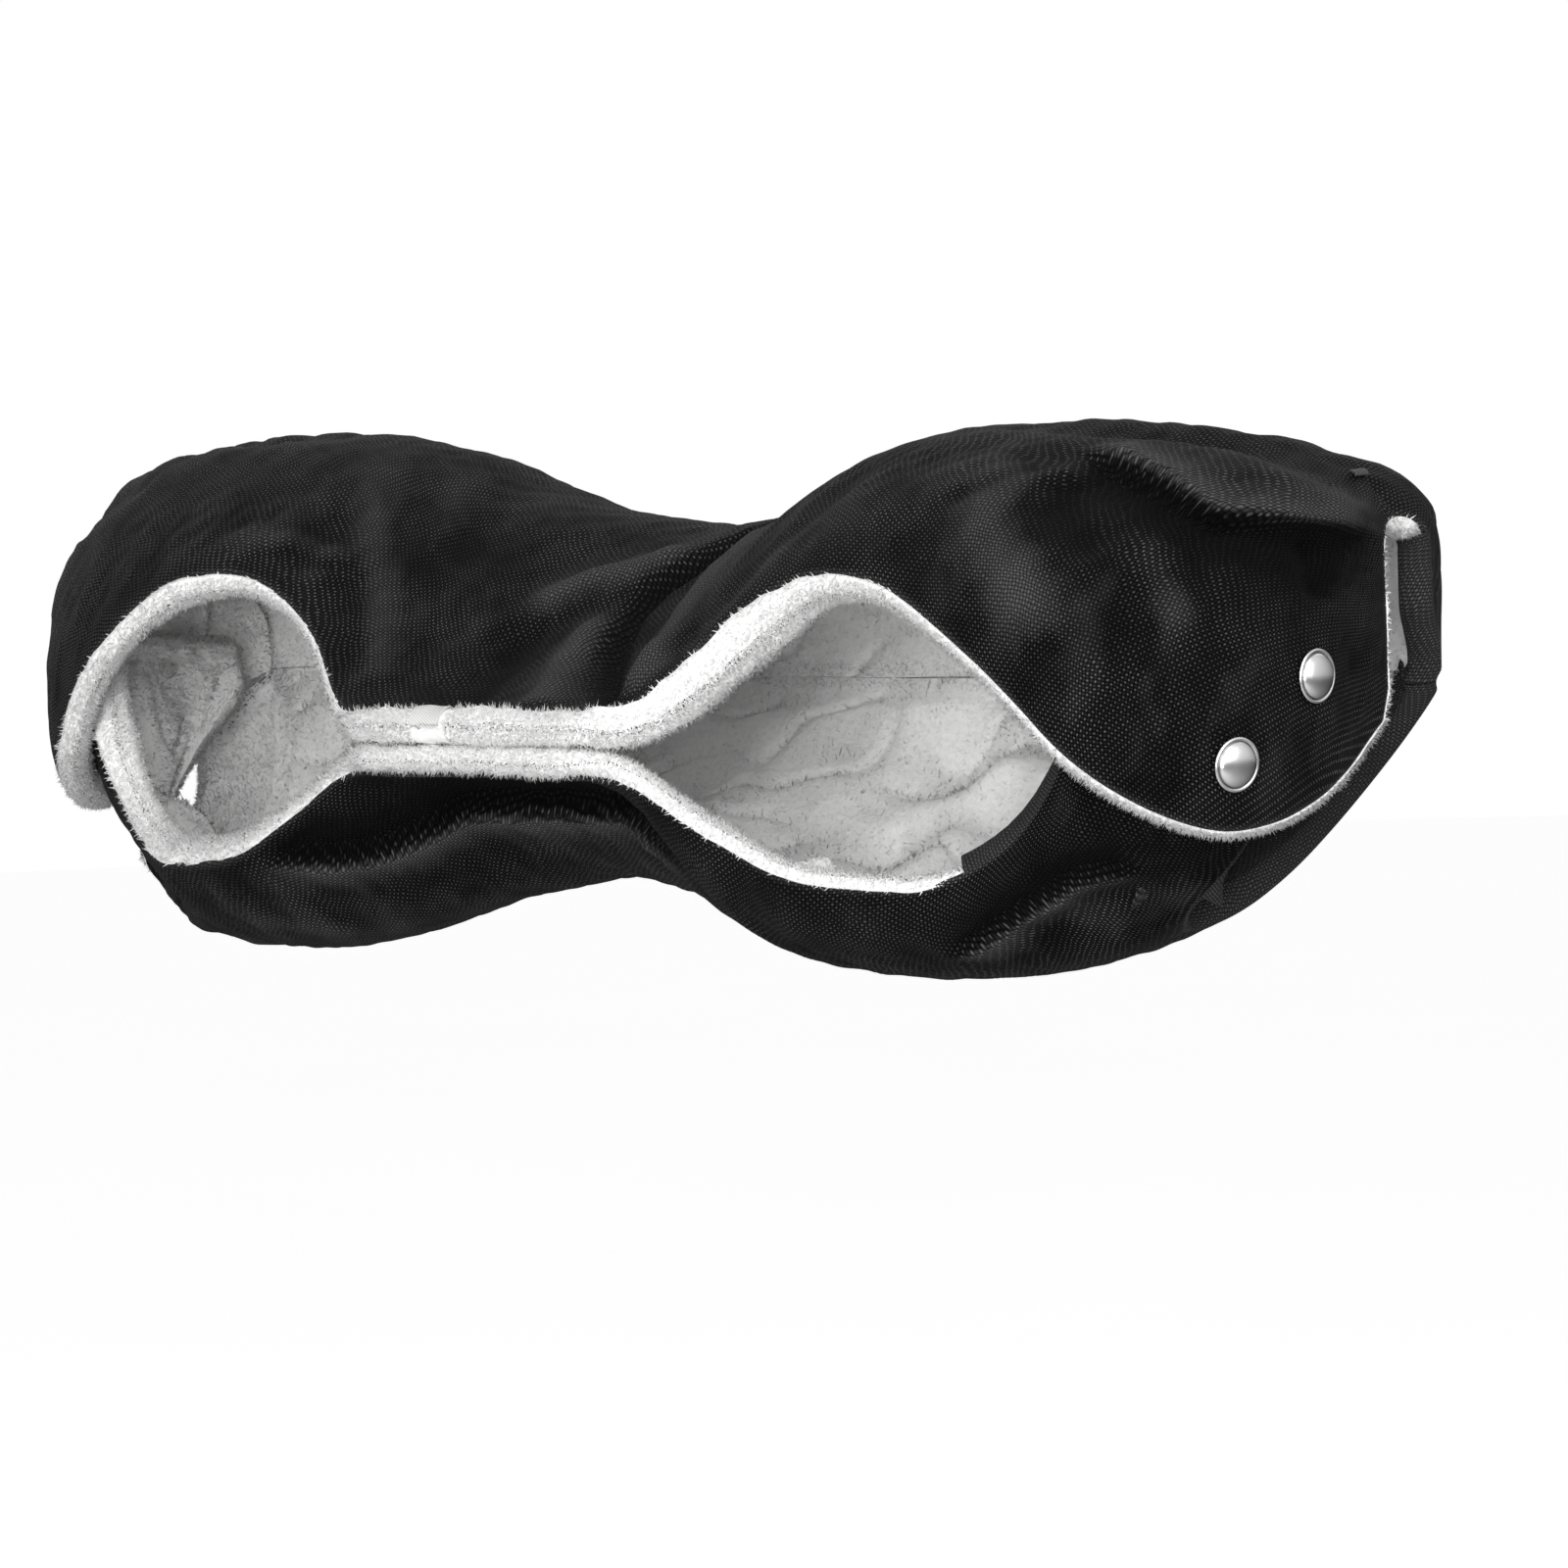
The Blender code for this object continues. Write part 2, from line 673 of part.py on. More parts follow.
def snap_profiles():
    """Works out the turned profiles of a snap's four pieces, with height 0 on the flap's face.

    Returns:
        Profiles by piece name.
    """
    base = SWELL_GAP
    rim_top = base + CAP_RIM
    dome = []
    for index in range(DOME_STEPS + 1):
        turn = math.radians(90 * index / DOME_STEPS)
        dome.append((CAP_RADIUS * math.cos(turn), rim_top + (CAP_DOME - CAP_RIM) * math.sin(turn)))
    dome[-1] = (0, dome[-1][1])
    post_end = -(SOCKET_DEPTH + SOCKET_FLOOR)
    cap = ([(0, post_end), (CAP_POST_RADIUS, post_end), (CAP_POST_RADIUS, base),
            (CAP_RADIUS, base)] + dome)

    socket_top = -SOCKET_DEPTH
    socket_base = socket_top - SOCKET_THICKNESS
    socket_floor = socket_top - SOCKET_FLOOR
    bore = CAP_POST_RADIUS + POST_CLEARANCE
    mouth = STUD_HEAD_RADIUS + STUD_CLEARANCE
    edge = SOCKET_RADIUS - SOCKET_FLOOR
    socket = [(bore, socket_top), (edge, socket_top), (SOCKET_RADIUS, socket_floor),
              (SOCKET_RADIUS, socket_base), (mouth, socket_base), (mouth, socket_floor),
              (bore, socket_floor)]

    flange_top = -STUD_FLANGE_DEPTH
    flange_base = flange_top - STUD_FLANGE
    head_top = socket_floor - SEAT_GAP
    neck = STUD_HEAD_RADIUS - SEAT_GAP
    hollow = STUD_POST_RADIUS + POST_CLEARANCE
    hollow_top = head_top - STUD_WALL
    stud = [(0, hollow_top), (hollow, hollow_top), (hollow, flange_base),
            (STUD_FLANGE_RADIUS, flange_base), (STUD_FLANGE_RADIUS, flange_top),
            (neck, flange_top), (neck, flange_top + STUD_WALL),
            (STUD_HEAD_RADIUS, head_top - STUD_WALL), (neck, head_top), (0, head_top)]

    back_top = -(LAP_DEPTH + PANEL_THICKNESS + SWELL_GAP)
    back_base = back_top - STUD_FLANGE
    post_top = hollow_top - SEAT_GAP
    stud_back = [(0, back_base), (STUD_FLANGE_RADIUS - STUD_FLANGE, back_base),
                 (STUD_FLANGE_RADIUS, back_top - STUD_FLANGE / 2),
                 (STUD_FLANGE_RADIUS, back_top), (STUD_POST_RADIUS, back_top),
                 (STUD_POST_RADIUS, post_top), (0, post_top)]
    return {"snap_cap": cap, "snap_socket": socket, "snap_stud": stud,
            "snap_stud_back": stud_back}


def hole_cutter(name, radius, seat, top, place):
    """Makes the round hole of a snap's post, with the flat seats pressed into both faces.

    Args:
        name: the object's name.
        radius: the hole's radius.
        seat: the seats' radius.
        top: height of the panel's outer face in the snap's frame.
        place: the snap's frame.

    Returns:
        The cutter.
    """
    rise = SWELL_GAP - SEAT_GAP
    upper_seat = top + rise
    lower_seat = top - PANEL_THICKNESS - rise
    profile = [(0, lower_seat - CUT_OVERRUN), (seat, lower_seat - CUT_OVERRUN),
               (seat, lower_seat), (radius, lower_seat), (radius, upper_seat),
               (seat, upper_seat), (seat, upper_seat + CUT_OVERRUN),
               (0, upper_seat + CUT_OVERRUN)]
    return hide_cutter(turned(name, profile, place, None, sides=HOLE_SIDES))


def strip(panel, name, look):
    """Makes one fastening strip on the lining behind a panel's front lip.

    Args:
        panel: the panel that carries it.
        name: the object's name.
        look: its material.

    Returns:
        The object.
    """
    middle = len(GRID_STATION_SHARES) - 1
    stations = signed_stations()[middle - STRIP_GRID_COLUMNS:middle + STRIP_GRID_COLUMNS + 1]
    rows = GRID_ROW_SHARES[STRIP_FIRST_ROW:STRIP_LAST_ROW + 1]
    shallow = PANEL_THICKNESS + SEAT_GAP
    outer = panel_grid(panel, shallow, stations, rows)
    inner = panel_grid(panel, shallow + STRIP_THICKNESS, stations, rows)
    return link(grid_solid(outer, inner), name, look)


def plate(name, sizes, place, look, bevel):
    """Makes a small flat piece with rounded edges.

    Args:
        name: the object's name.
        sizes: its three sizes in its own frame.
        place: its frame, at the middle of its base.
        look: its material.
        bevel: width of the rounded edges.

    Returns:
        The object.
    """
    mesh = bmesh.new()
    bmesh.ops.create_cube(mesh, size=1)
    bmesh.ops.scale(mesh, vec=sizes, verts=mesh.verts)
    bmesh.ops.translate(mesh, vec=(0, 0, sizes[2] / 2), verts=mesh.verts)
    bmesh.ops.bevel(mesh, geom=list(mesh.edges), offset=bevel, segments=1, affect="EDGES")
    made = link(mesh, name, look)
    made.matrix_world = place
    return made


def hang_on(pieces, name, place):
    """Parents pieces to an empty on their joint's axis.

    Args:
        pieces: the objects.
        name: the empty's name.
        place: where it stands.
    """
    pivot = bpy.data.objects.new(name, None)
    bpy.context.scene.collection.objects.link(pivot)
    pivot.location = place
    bpy.context.view_layer.update()
    for piece in pieces:
        world = piece.matrix_world.copy()
        piece.parent = pivot
        piece.matrix_parent_inverse = pivot.matrix_world.inverted()
        piece.matrix_world = world


def build():
    """Builds the muff."""
    clear_scene()
    looks = {
        "outer_cloth": material("black_woven_cloth", (0.010, 0.010, 0.011), 0.85),
        "wadding": material("white_wadding", (0.80, 0.80, 0.78), 0.95),
        "fleece_lining": material("white_fleece", (0.86, 0.85, 0.83), 0.95),
    }
    steel = material("polished_steel", (0.72, 0.72, 0.72), 0.16, 1.0)
    tape = material("white_tape", (0.75, 0.75, 0.73), 0.9)
    thread = material("black_thread", (0.012, 0.012, 0.012), 0.7)
    woven = material("white_woven_label", (0.82, 0.82, 0.80), 0.8)

    upper = Panel(1, UPPER_FRONT_SHARES, UPPER_MIDDLE_SHARES, RIDGE_SHARES, UNDERLAP_SHARES,
                  UPPER_LIP_SHARES, UPPER_END_SHARES)
    lower = Panel(-1, LOWER_FRONT_SHARES, LOWER_MIDDLE_SHARES, RIDGE_SHARES, KEEL_SHARES,
                  LOWER_LIP_SHARES, LOWER_END_SHARES)
    lower.inside_of = upper
    fold = FlapFold(upper)

    uppers = {}
    lowers = {}
    for layer in LAYER_DEPTHS:
        uppers[layer] = panel_layer(upper, "upper_" + layer, layer, looks[layer])
        lowers[layer] = panel_layer(lower, "lower_" + layer, layer, looks[layer])

    profiles = snap_profiles()
    for side, mirror in (("right", 1), ("left", -1)):
        flap_space = fold.cutter(side + "_flap_space", mirror, 0)
        parting_space = fold.cutter(side + "_parting_space", mirror, SEAT_GAP)
        flaps = {}
        for layer in LAYER_DEPTHS:
            name = side + "_flap_" + layer
            flaps[layer] = bpy.data.objects.new(name, uppers[layer].data.copy())
            bpy.context.scene.collection.objects.link(flaps[layer])
            cut(flaps[layer], flap_space, "INTERSECT")
            cut(uppers[layer], parting_space, "DIFFERENCE")
        moving = list(flaps.values())
        for position, (station, angle) in SNAP_SHARES.items():
            point = upper.layer([station], [angle], np.zeros(1))[0]
            outward = upper.normal(np.array([station]), np.array([angle]))[0]
            place = frame_at(point, outward, mirror)
            label = side + "_" + position + "_"
            pieces = {piece: turned(label + piece, profile, place, steel)
                      for piece, profile in profiles.items()}
            moving += [pieces["snap_cap"], pieces["snap_socket"]]
            flap_hole = hole_cutter(label + "flap_hole", CAP_POST_RADIUS + POST_CLEARANCE,
                                    CAP_RADIUS + POST_CLEARANCE, 0, place)
            panel_hole = hole_cutter(label + "panel_hole", STUD_POST_RADIUS + POST_CLEARANCE,
                                     SOCKET_RADIUS + POST_CLEARANCE, -LAP_DEPTH, place)
            for layer in LAYER_DEPTHS:
                cut(flaps[layer], flap_hole, "DIFFERENCE")
                cut(lowers[layer], panel_hole, "DIFFERENCE")
        hinge = Vector(fold.place)
        hinge.x *= mirror
        hang_on(moving, side + "_flap_fold", hinge)

        tack_at = upper.layer([BARTACK_STATION_SHARE], [SLIT_TOP_ANGLE], np.full(1, -SWELL_GAP))[0]
        tack_out = upper.normal(np.array([BARTACK_STATION_SHARE]), np.array([SLIT_TOP_ANGLE]))[0]
        plate(side + "_slit_bartack", (BARTACK_WIDTH, BARTACK_LENGTH, BARTACK_THICKNESS),
              frame_at(tack_at, tack_out, mirror), thread, BARTACK_THICKNESS / 4)

    strip(upper, "closure_hook_strip", tape)
    strip(lower, "closure_loop_strip", tape)

    label_stations = (LABEL_OFFSET + LABEL_WIDTH * np.linspace(-1, 1, 3)) / HALF_LENGTH
    lip_edge = upper.layer(label_stations, np.zeros(3), np.full(3, PANEL_THICKNESS))
    label_at = (LABEL_OFFSET, lip_edge[:, 1].min() - SEAT_GAP,
                lip_edge[1, 2] + PANEL_THICKNESS / 2)
    plate("woven_label", (LABEL_WIDTH, LABEL_HEIGHT, LABEL_THICKNESS),
          frame_at(label_at, (0, -1, 0), -1), woven, LABEL_THICKNESS / 4)

    print("right flap's fold:", "place", fold.place, "axis", fold.axis)


build()
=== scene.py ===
"""Finish of the stroller hand muff: cloth, fleece, wadding, snaps, strips, thread bars and label.

Frame: the origin is on the handlebar's axis at mid-length, +X runs along the bar to the right,
+Y points away from the user and +Z is up. Metres. The left half mirrors the right half.

Every soft layer is read from the rule of its panel's outer face, as the solids are, on a much
finer grid, with the folds that the real cloth shows. A place on a panel is given by a station,
0 at the waist and 1 at the end slit, and by an angle round the bar, 0 at the front, 90 at the
ridge, -90 at the keel and 180 at the back fold.
"""
import logging
import math
from dataclasses import dataclass, field
from enum import Enum

import bpy
import numpy as np
from mathutils import Matrix, Vector


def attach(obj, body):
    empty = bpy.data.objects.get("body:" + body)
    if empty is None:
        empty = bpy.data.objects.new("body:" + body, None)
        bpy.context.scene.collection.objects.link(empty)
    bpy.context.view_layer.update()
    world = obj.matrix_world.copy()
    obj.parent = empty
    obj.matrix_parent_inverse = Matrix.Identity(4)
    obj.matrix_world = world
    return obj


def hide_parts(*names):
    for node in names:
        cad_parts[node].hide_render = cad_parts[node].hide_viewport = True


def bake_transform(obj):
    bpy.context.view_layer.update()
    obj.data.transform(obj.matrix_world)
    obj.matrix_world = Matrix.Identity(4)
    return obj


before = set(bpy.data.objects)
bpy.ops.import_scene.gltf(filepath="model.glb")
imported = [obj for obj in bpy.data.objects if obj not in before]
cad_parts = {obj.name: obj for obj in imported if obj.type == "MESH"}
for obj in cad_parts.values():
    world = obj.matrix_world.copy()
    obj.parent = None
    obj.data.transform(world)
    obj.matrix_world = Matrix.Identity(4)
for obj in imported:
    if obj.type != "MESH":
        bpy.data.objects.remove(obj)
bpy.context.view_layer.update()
LOG = logging.getLogger("muff")

MM = 0.001
BACK_ANGLE = 180.0
RIDGE_ANGLE = 90.0

# overall sizes, as in the solids
HALF_LENGTH = 0.226
FRONT_REACH = 0.098
BACK_REACH = 0.078
RIDGE_HEIGHT = 0.078
KEEL_DEPTH = 0.077

# layers of a panel, from the outside in
CLOTH_THICKNESS = 0.0012
WADDING_THICKNESS = 0.0026
FLEECE_THICKNESS = 0.0034
SEAT_GAP = 0.0003
SWELL_GAP = 0.0006
PANEL_THICKNESS = CLOTH_THICKNESS + WADDING_THICKNESS + FLEECE_THICKNESS + 2 * SEAT_GAP
STRIP_THICKNESS = 0.0012

# press snap sizes
CAP_RADIUS = 0.0077
CAP_DOME = 0.0030
CAP_RIM = 0.0006
CAP_POST_RADIUS = 0.0020
SOCKET_RADIUS = 0.0060
SOCKET_THICKNESS = 0.0022
SOCKET_FLOOR = 0.0006
STUD_FLANGE = 0.0006
SHARP_ANGLE = 50
SOCKET_DEPTH = PANEL_THICKNESS + SWELL_GAP
STUD_FLANGE_DEPTH = SOCKET_DEPTH + SOCKET_THICKNESS + SEAT_GAP
LAP_DEPTH = STUD_FLANGE_DEPTH + STUD_FLANGE + SWELL_GAP
CLOSURE_HEIGHT = 2 * (PANEL_THICKNESS + SEAT_GAP + STRIP_THICKNESS + SWELL_GAP)

# guide curves: shares of the half length, of the reach and of the height
STATION_SHARES = (0, 0.20, 0.40, 0.58, 0.74, 0.86, 0.94, 1)
RIDGE_SHARES = ((0, 0.33, 0.60), (0.186, 0.26, 0.69), (0.389, 0.10, 0.93), (0.575, 0.05, 1.0),
                (0.743, 0.10, 0.98), (0.866, 0.28, 0.91), (0.950, 0.46, 0.78), (0.985, 0.56, 0.62))
UPPER_FRONT_SHARES = ((0, -1, 0.12), (0.186, -1, 0.12), (0.389, -0.96, 0.04), (0.593, -0.90, 0),
                      (0.815, -0.71, 0), (0.942, -0.385, 0), (0.980, 0.04, 0), (0.987, 0.45, 0))
UNDERLAP_SHARES = ((0, -0.12, -0.68), (0.186, -0.16, -0.78), (0.380, -0.12, -0.95),
                   (0.575, -0.06, -1.04), (0.743, 0.02, -1.01), (0.854, 0.18, -0.86),
                   (0.920, 0.38, -0.68), (0.956, 0.51, -0.52))
UPPER_MIDDLE_SHARES = ((0, 0, -0.03), (0.186, 0, -0.03), (0.389, 0, 0), (0.584, 0.03, 0),
                       (0.752, 0.10, 0), (0.867, 0.28, 0), (0.942, 0.46, 0), (0.985, 0.56, 0))
BACK_SHARES = ((0, 0.82, 0), (0.195, 0.87, 0), (0.407, 0.95, 0), (0.600, 1, 0),
               (0.760, 1, 0), (0.876, 0.98, 0), (0.970, 0.89, 0), (1.0, 0.70, 0))
KEEL_SHARES = ((0, -0.12, -0.68), (0.186, -0.16, -0.78), (0.380, -0.20, -0.95),
               (0.557, -0.19, -1), (0.718, -0.18, -0.94), (0.822, -0.02, -0.79),
               (0.868, 0.27, -0.58), (0.900, 0.46, -0.42))
LOWER_FRONT_SHARES = ((0, -1, -0.88), (0.186, -1, -0.88), (0.380, -0.94, -0.60),
                      (0.566, -0.85, -0.20), (0.750, -0.67, 0), (0.872, -0.36, 0),
                      (0.922, 0.03, 0), (0.932, 0.45, 0))
LOWER_MIDDLE_SHARES = ((0, 0, -0.03), (0.186, 0, -0.03), (0.380, 0, 0), (0.557, 0.03, 0),
                       (0.710, 0.10, 0), (0.818, 0.27, 0), (0.895, 0.44, 0), (0.925, 0.54, 0))

# angles of the lips, ends of the panels, form of the bill, of the slit and of the lap
UPPER_LIP_SHARES = ((0, 0), (0.14, 0), (0.20, 5), (0.26, 17), (0.32, 27), (0.40, 32), (0.50, 31),
                    (0.58, 26), (0.66, 12), (0.74, -8), (0.82, -24), (0.88, -36), (0.93, -42),
                    (0.97, -37), (1, -18))
LOWER_LIP_SHARES = ((0, 0), (0.14, 0), (0.20, -9), (0.30, -20), (0.40, -26), (0.50, -30),
                    (0.60, -34), (0.67, -35), (0.71, -28), (0.74, -7), (0.77, 8), (0.85, 14),
                    (1, 14))
BILL_SHARES = ((0, 5), (0.12, 5), (0.20, 3.2), (0.28, 1.9), (0.40, 1.25), (0.50, 1), (1, 1))
UPPER_END_SHARES = ((-60, 1), (138, 1), (158, 0.98), (170, 0.96), (180, 0.95))
LOWER_END_SHARES = ((-180, 0.95), (-160, 0.91), (-130, 0.85), (-95, 0.83), (-70, 0.87),
                    (-48, 0.92), (-28, 0.98), (-12, 1), (20, 1))
SLIT_ROUND_SHARE = 0.20
SLIT_STRAIGHT_ANGLE = 66.0
SLIT_STATION_SHARES = (0.80, 1.0)
LAP_BLEND_STATION_SHARES = (0.60, 0.77)
LAP_BLEND_ANGLE_SHARES = (-0.433, -0.300)
FLAP_START_STATION_SHARE = 0.70

# the solids' own main folds: station and angle of both ends, width and depth as shares
MAIN_FOLD_DEPTH = 0.0045
MAIN_FOLD_SHARES = ((0.55, 84, 0.99, 82, 0.045, 1.0), (0.17, 20, 0.30, 100, 0.035, 0.55),
                    (0.20, 14, 0.46, 66, 0.030, 0.45), (0.05, 60, 0.22, 48, 0.040, 0.40),
                    (0.62, -60, 0.80, -50, 0.045, 0.55))
# the waist's own folds, at signed stations; those below zero in depth stand out
WAIST_FOLD_SHARES = ((0.22, 82, 0.05, 64, 0.034, 0.62), (0.04, 62, 0.20, 34, 0.034, 0.62),
                     (0.235, 76, 0.235, 26, 0.036, -0.40), (-0.13, 58, 0.06, 76, 0.034, -0.36),
                     (0.0, 60, 0.08, 32, 0.034, -0.30), (-0.11, 58, -0.08, 30, 0.036, 0.45))
MAIN_FOLD_ANGLE_SCALE = 150.0
MAIN_FOLD_TAPER_SHARES = (-0.15, 0.30, 0.70, 1.15)

# folds: steps of a path between its places, how many widths a fold reaches, where along its
# path it grows and fades, and a pleat's raised side and hollow side
FOLD_STEPS = 12
FOLD_REACH_WIDTHS = 3.5
FOLD_TAPER_SHARES = (-0.02, 0.16, 0.84, 1.02)
PLEAT_TURN = 1.6 * MM
PLEAT_CREST_SHARE = 0.45
PLEAT_CREST_WIDTH_SHARE = 0.6
PLEAT_HOLLOW_POWER = 1.4

# the row of the ridge or keel, and how many places inside an edge its outward side is read
RIDGE_ROW_SHARE = 0.5
INNER_PLACES = 12
NORMAL_STATION_STEP = 0.012
NORMAL_STEP_ANGLE = 4.0
SEAM_TURN_SHARE = 0.12

# tufts of pile
TUFT_LENGTHS = (0.0010, 0.0025)
TUFT_RADIUS = 0.00028
TUFT_SHADE = 0.45
TUFT_SINK = 0.0002
TUFT_LEAN = 0.9
TUFT_SEED = 5
TUFT_FACES = ((0, 1, 2), (0, 2, 3), (0, 3, 1), (1, 3, 2))

SNAP_PLACES = {"upper": (0.930, 8.0), "lower": (0.872, -14.5)}
BARTACK_STATION = 0.94
LABEL_MIDDLE = -0.012
LABEL_WIDTH = 0.0105
LABEL_HEIGHT = 0.0102
LABEL_CLEAR_SHARE = 0.55
# places from the roll's tip to the cloth's edge, and how many more of them the label may need
SETTLED_ROWS = 5
ROLLED_ROWS = 40

# steps of the fine grids: each half's columns, rows before and behind the ridge or keel
CLOTH_COLUMNS = 175
CLOTH_ROWS = (84, 54)
FLEECE_COLUMNS = 150
FLEECE_ROWS = (90, 60)
# added places of the roll and of a bound edge, as shares of the way out or round, farthest first
ROLL_SHARES = np.array((1.0, 0.95, 0.82, 0.60, 0.32))
BINDING_SHARES = np.array((1.0, 0.75, 0.52, 0.44, 0.36, 0.28, 0.20, 0.13, 0.06))
# over which share of the steps they grow, and the first step at ends and lips and at the back
FINE_SHARE = 0.35
FIRST_STEP = 0.30
FIRST_BACK_STEP = 0.45
# a wave's least and greatest pace in the noise, as shares of the size asked for
WAVE_PACES = (0.7, 1.4)
# how far round a snap the layers are pressed flat, in socket radii
CALM_SHARE = 2.2


def ramp(value: np.ndarray, start: float, end: float) -> np.ndarray:
    """Rises smoothly from 0 at start to 1 at end.

    Args:
        value: Any numbers.
        start: Where it leaves 0.
        end: Where it reaches 1.

    Returns:
        Shares from 0 to 1.
    """
    way = np.clip((value - start) / (end - start), 0, 1)
    return way * way * (3 - 2 * way)


def unit(vectors: np.ndarray) -> np.ndarray:
    """Gives vectors a length of one, along their last axis."""
    return vectors / np.maximum(np.linalg.norm(vectors, axis=-1, keepdims=True), 1e-12)


class SmoothCurve:
    """A smooth curve through values at rising stations."""

    def __init__(self, stations: tuple, values: list) -> None:
        """Keeps the knots and works out their slopes.

        Args:
            stations: Rising numbers.
            values: A number or a point at each station.
        """
        self.knots = np.array(stations, float)
        self.places = np.array(values, float)
        last = len(self.knots) - 1
        before = np.maximum(np.arange(last + 1) - 1, 0)
        after = np.minimum(np.arange(last + 1) + 1, last)
        gap = self.knots[after] - self.knots[before]
        rise = self.places[after] - self.places[before]
        self.slopes = rise / (gap if self.places.ndim == 1 else gap[:, None])

    def __call__(self, station: np.ndarray) -> np.ndarray:
        """Reads the curve.

        Args:
            station: Where to read it.

        Returns:
            Its values there.
        """
        held = np.clip(station, self.knots[0], self.knots[-1])
        cell = np.searchsorted(self.knots, held, side="right") - 1
        cell = np.clip(cell, 0, len(self.knots) - 2)
        span = self.knots[cell + 1] - self.knots[cell]
        way = (held - self.knots[cell]) / span
        if self.places.ndim > 1:
            way = way[..., None]
            span = span[..., None]
        return ((2 * way**3 - 3 * way**2 + 1) * self.places[cell]
                + (way**3 - 2 * way**2 + way) * span * self.slopes[cell]
                + (3 * way**2 - 2 * way**3) * self.places[cell + 1]
                + (way**3 - way**2) * span * self.slopes[cell + 1])


def guide(shares: tuple, rise: float = RIDGE_HEIGHT, fall: float = KEEL_DEPTH) -> SmoothCurve:
    """Makes a guide curve from its rows of shares.

    Args:
        shares: Rows of length, reach and height shares.
        rise: The height that a height share above zero is of.
        fall: The height that a height share below zero is of.

    Returns:
        The curve over the stations.
    """
    rows = []
    for along, reach, height in shares:
        reach_size = BACK_REACH if reach > 0 else FRONT_REACH
        height_size = rise if height > 0 else fall
        rows.append((along * HALF_LENGTH, reach * reach_size, height * height_size))
    return SmoothCurve(STATION_SHARES, rows)


def table_curve(rows: tuple) -> SmoothCurve:
    """Makes a curve from pairs of a station or angle and its value."""
    return SmoothCurve([row[0] for row in rows], [row[1] for row in rows])


BILL = table_curve(BILL_SHARES)


def lap_share(angle: np.ndarray) -> np.ndarray:
    """Gives how far the lower panel follows the flap that laps over it."""
    return ramp(angle / BACK_ANGLE, *LAP_BLEND_ANGLE_SHARES)


def main_fold_drop(station: np.ndarray, angle: np.ndarray) -> np.ndarray:
    """Gives how deep the solids' own folds draw the cloth in.

    Args:
        station: Signed station shares.
        angle: Angles in degrees.

    Returns:
        Depths in metres.
    """
    across = angle / MAIN_FOLD_ANGLE_SCALE
    drop = np.zeros_like(station)
    folds = ([(np.abs(station), row) for row in MAIN_FOLD_SHARES]
             + [(station, row) for row in WAIST_FOLD_SHARES])
    for place, (start, start_angle, end, end_angle, width, depth) in folds:
        start_across = start_angle / MAIN_FOLD_ANGLE_SCALE
        run = end - start
        rise = end_angle / MAIN_FOLD_ANGLE_SCALE - start_across
        length = math.hypot(run, rise)
        way = ((place - start) * run + (across - start_across) * rise) / length**2
        aside = ((place - start) * rise - (across - start_across) * run) / length
        taper = ramp(way, *MAIN_FOLD_TAPER_SHARES[:2])
        taper = taper * (1 - ramp(way, *MAIN_FOLD_TAPER_SHARES[2:]))
        drop += MAIN_FOLD_DEPTH * depth * taper * np.exp(-(aside / width)**2)
    return drop


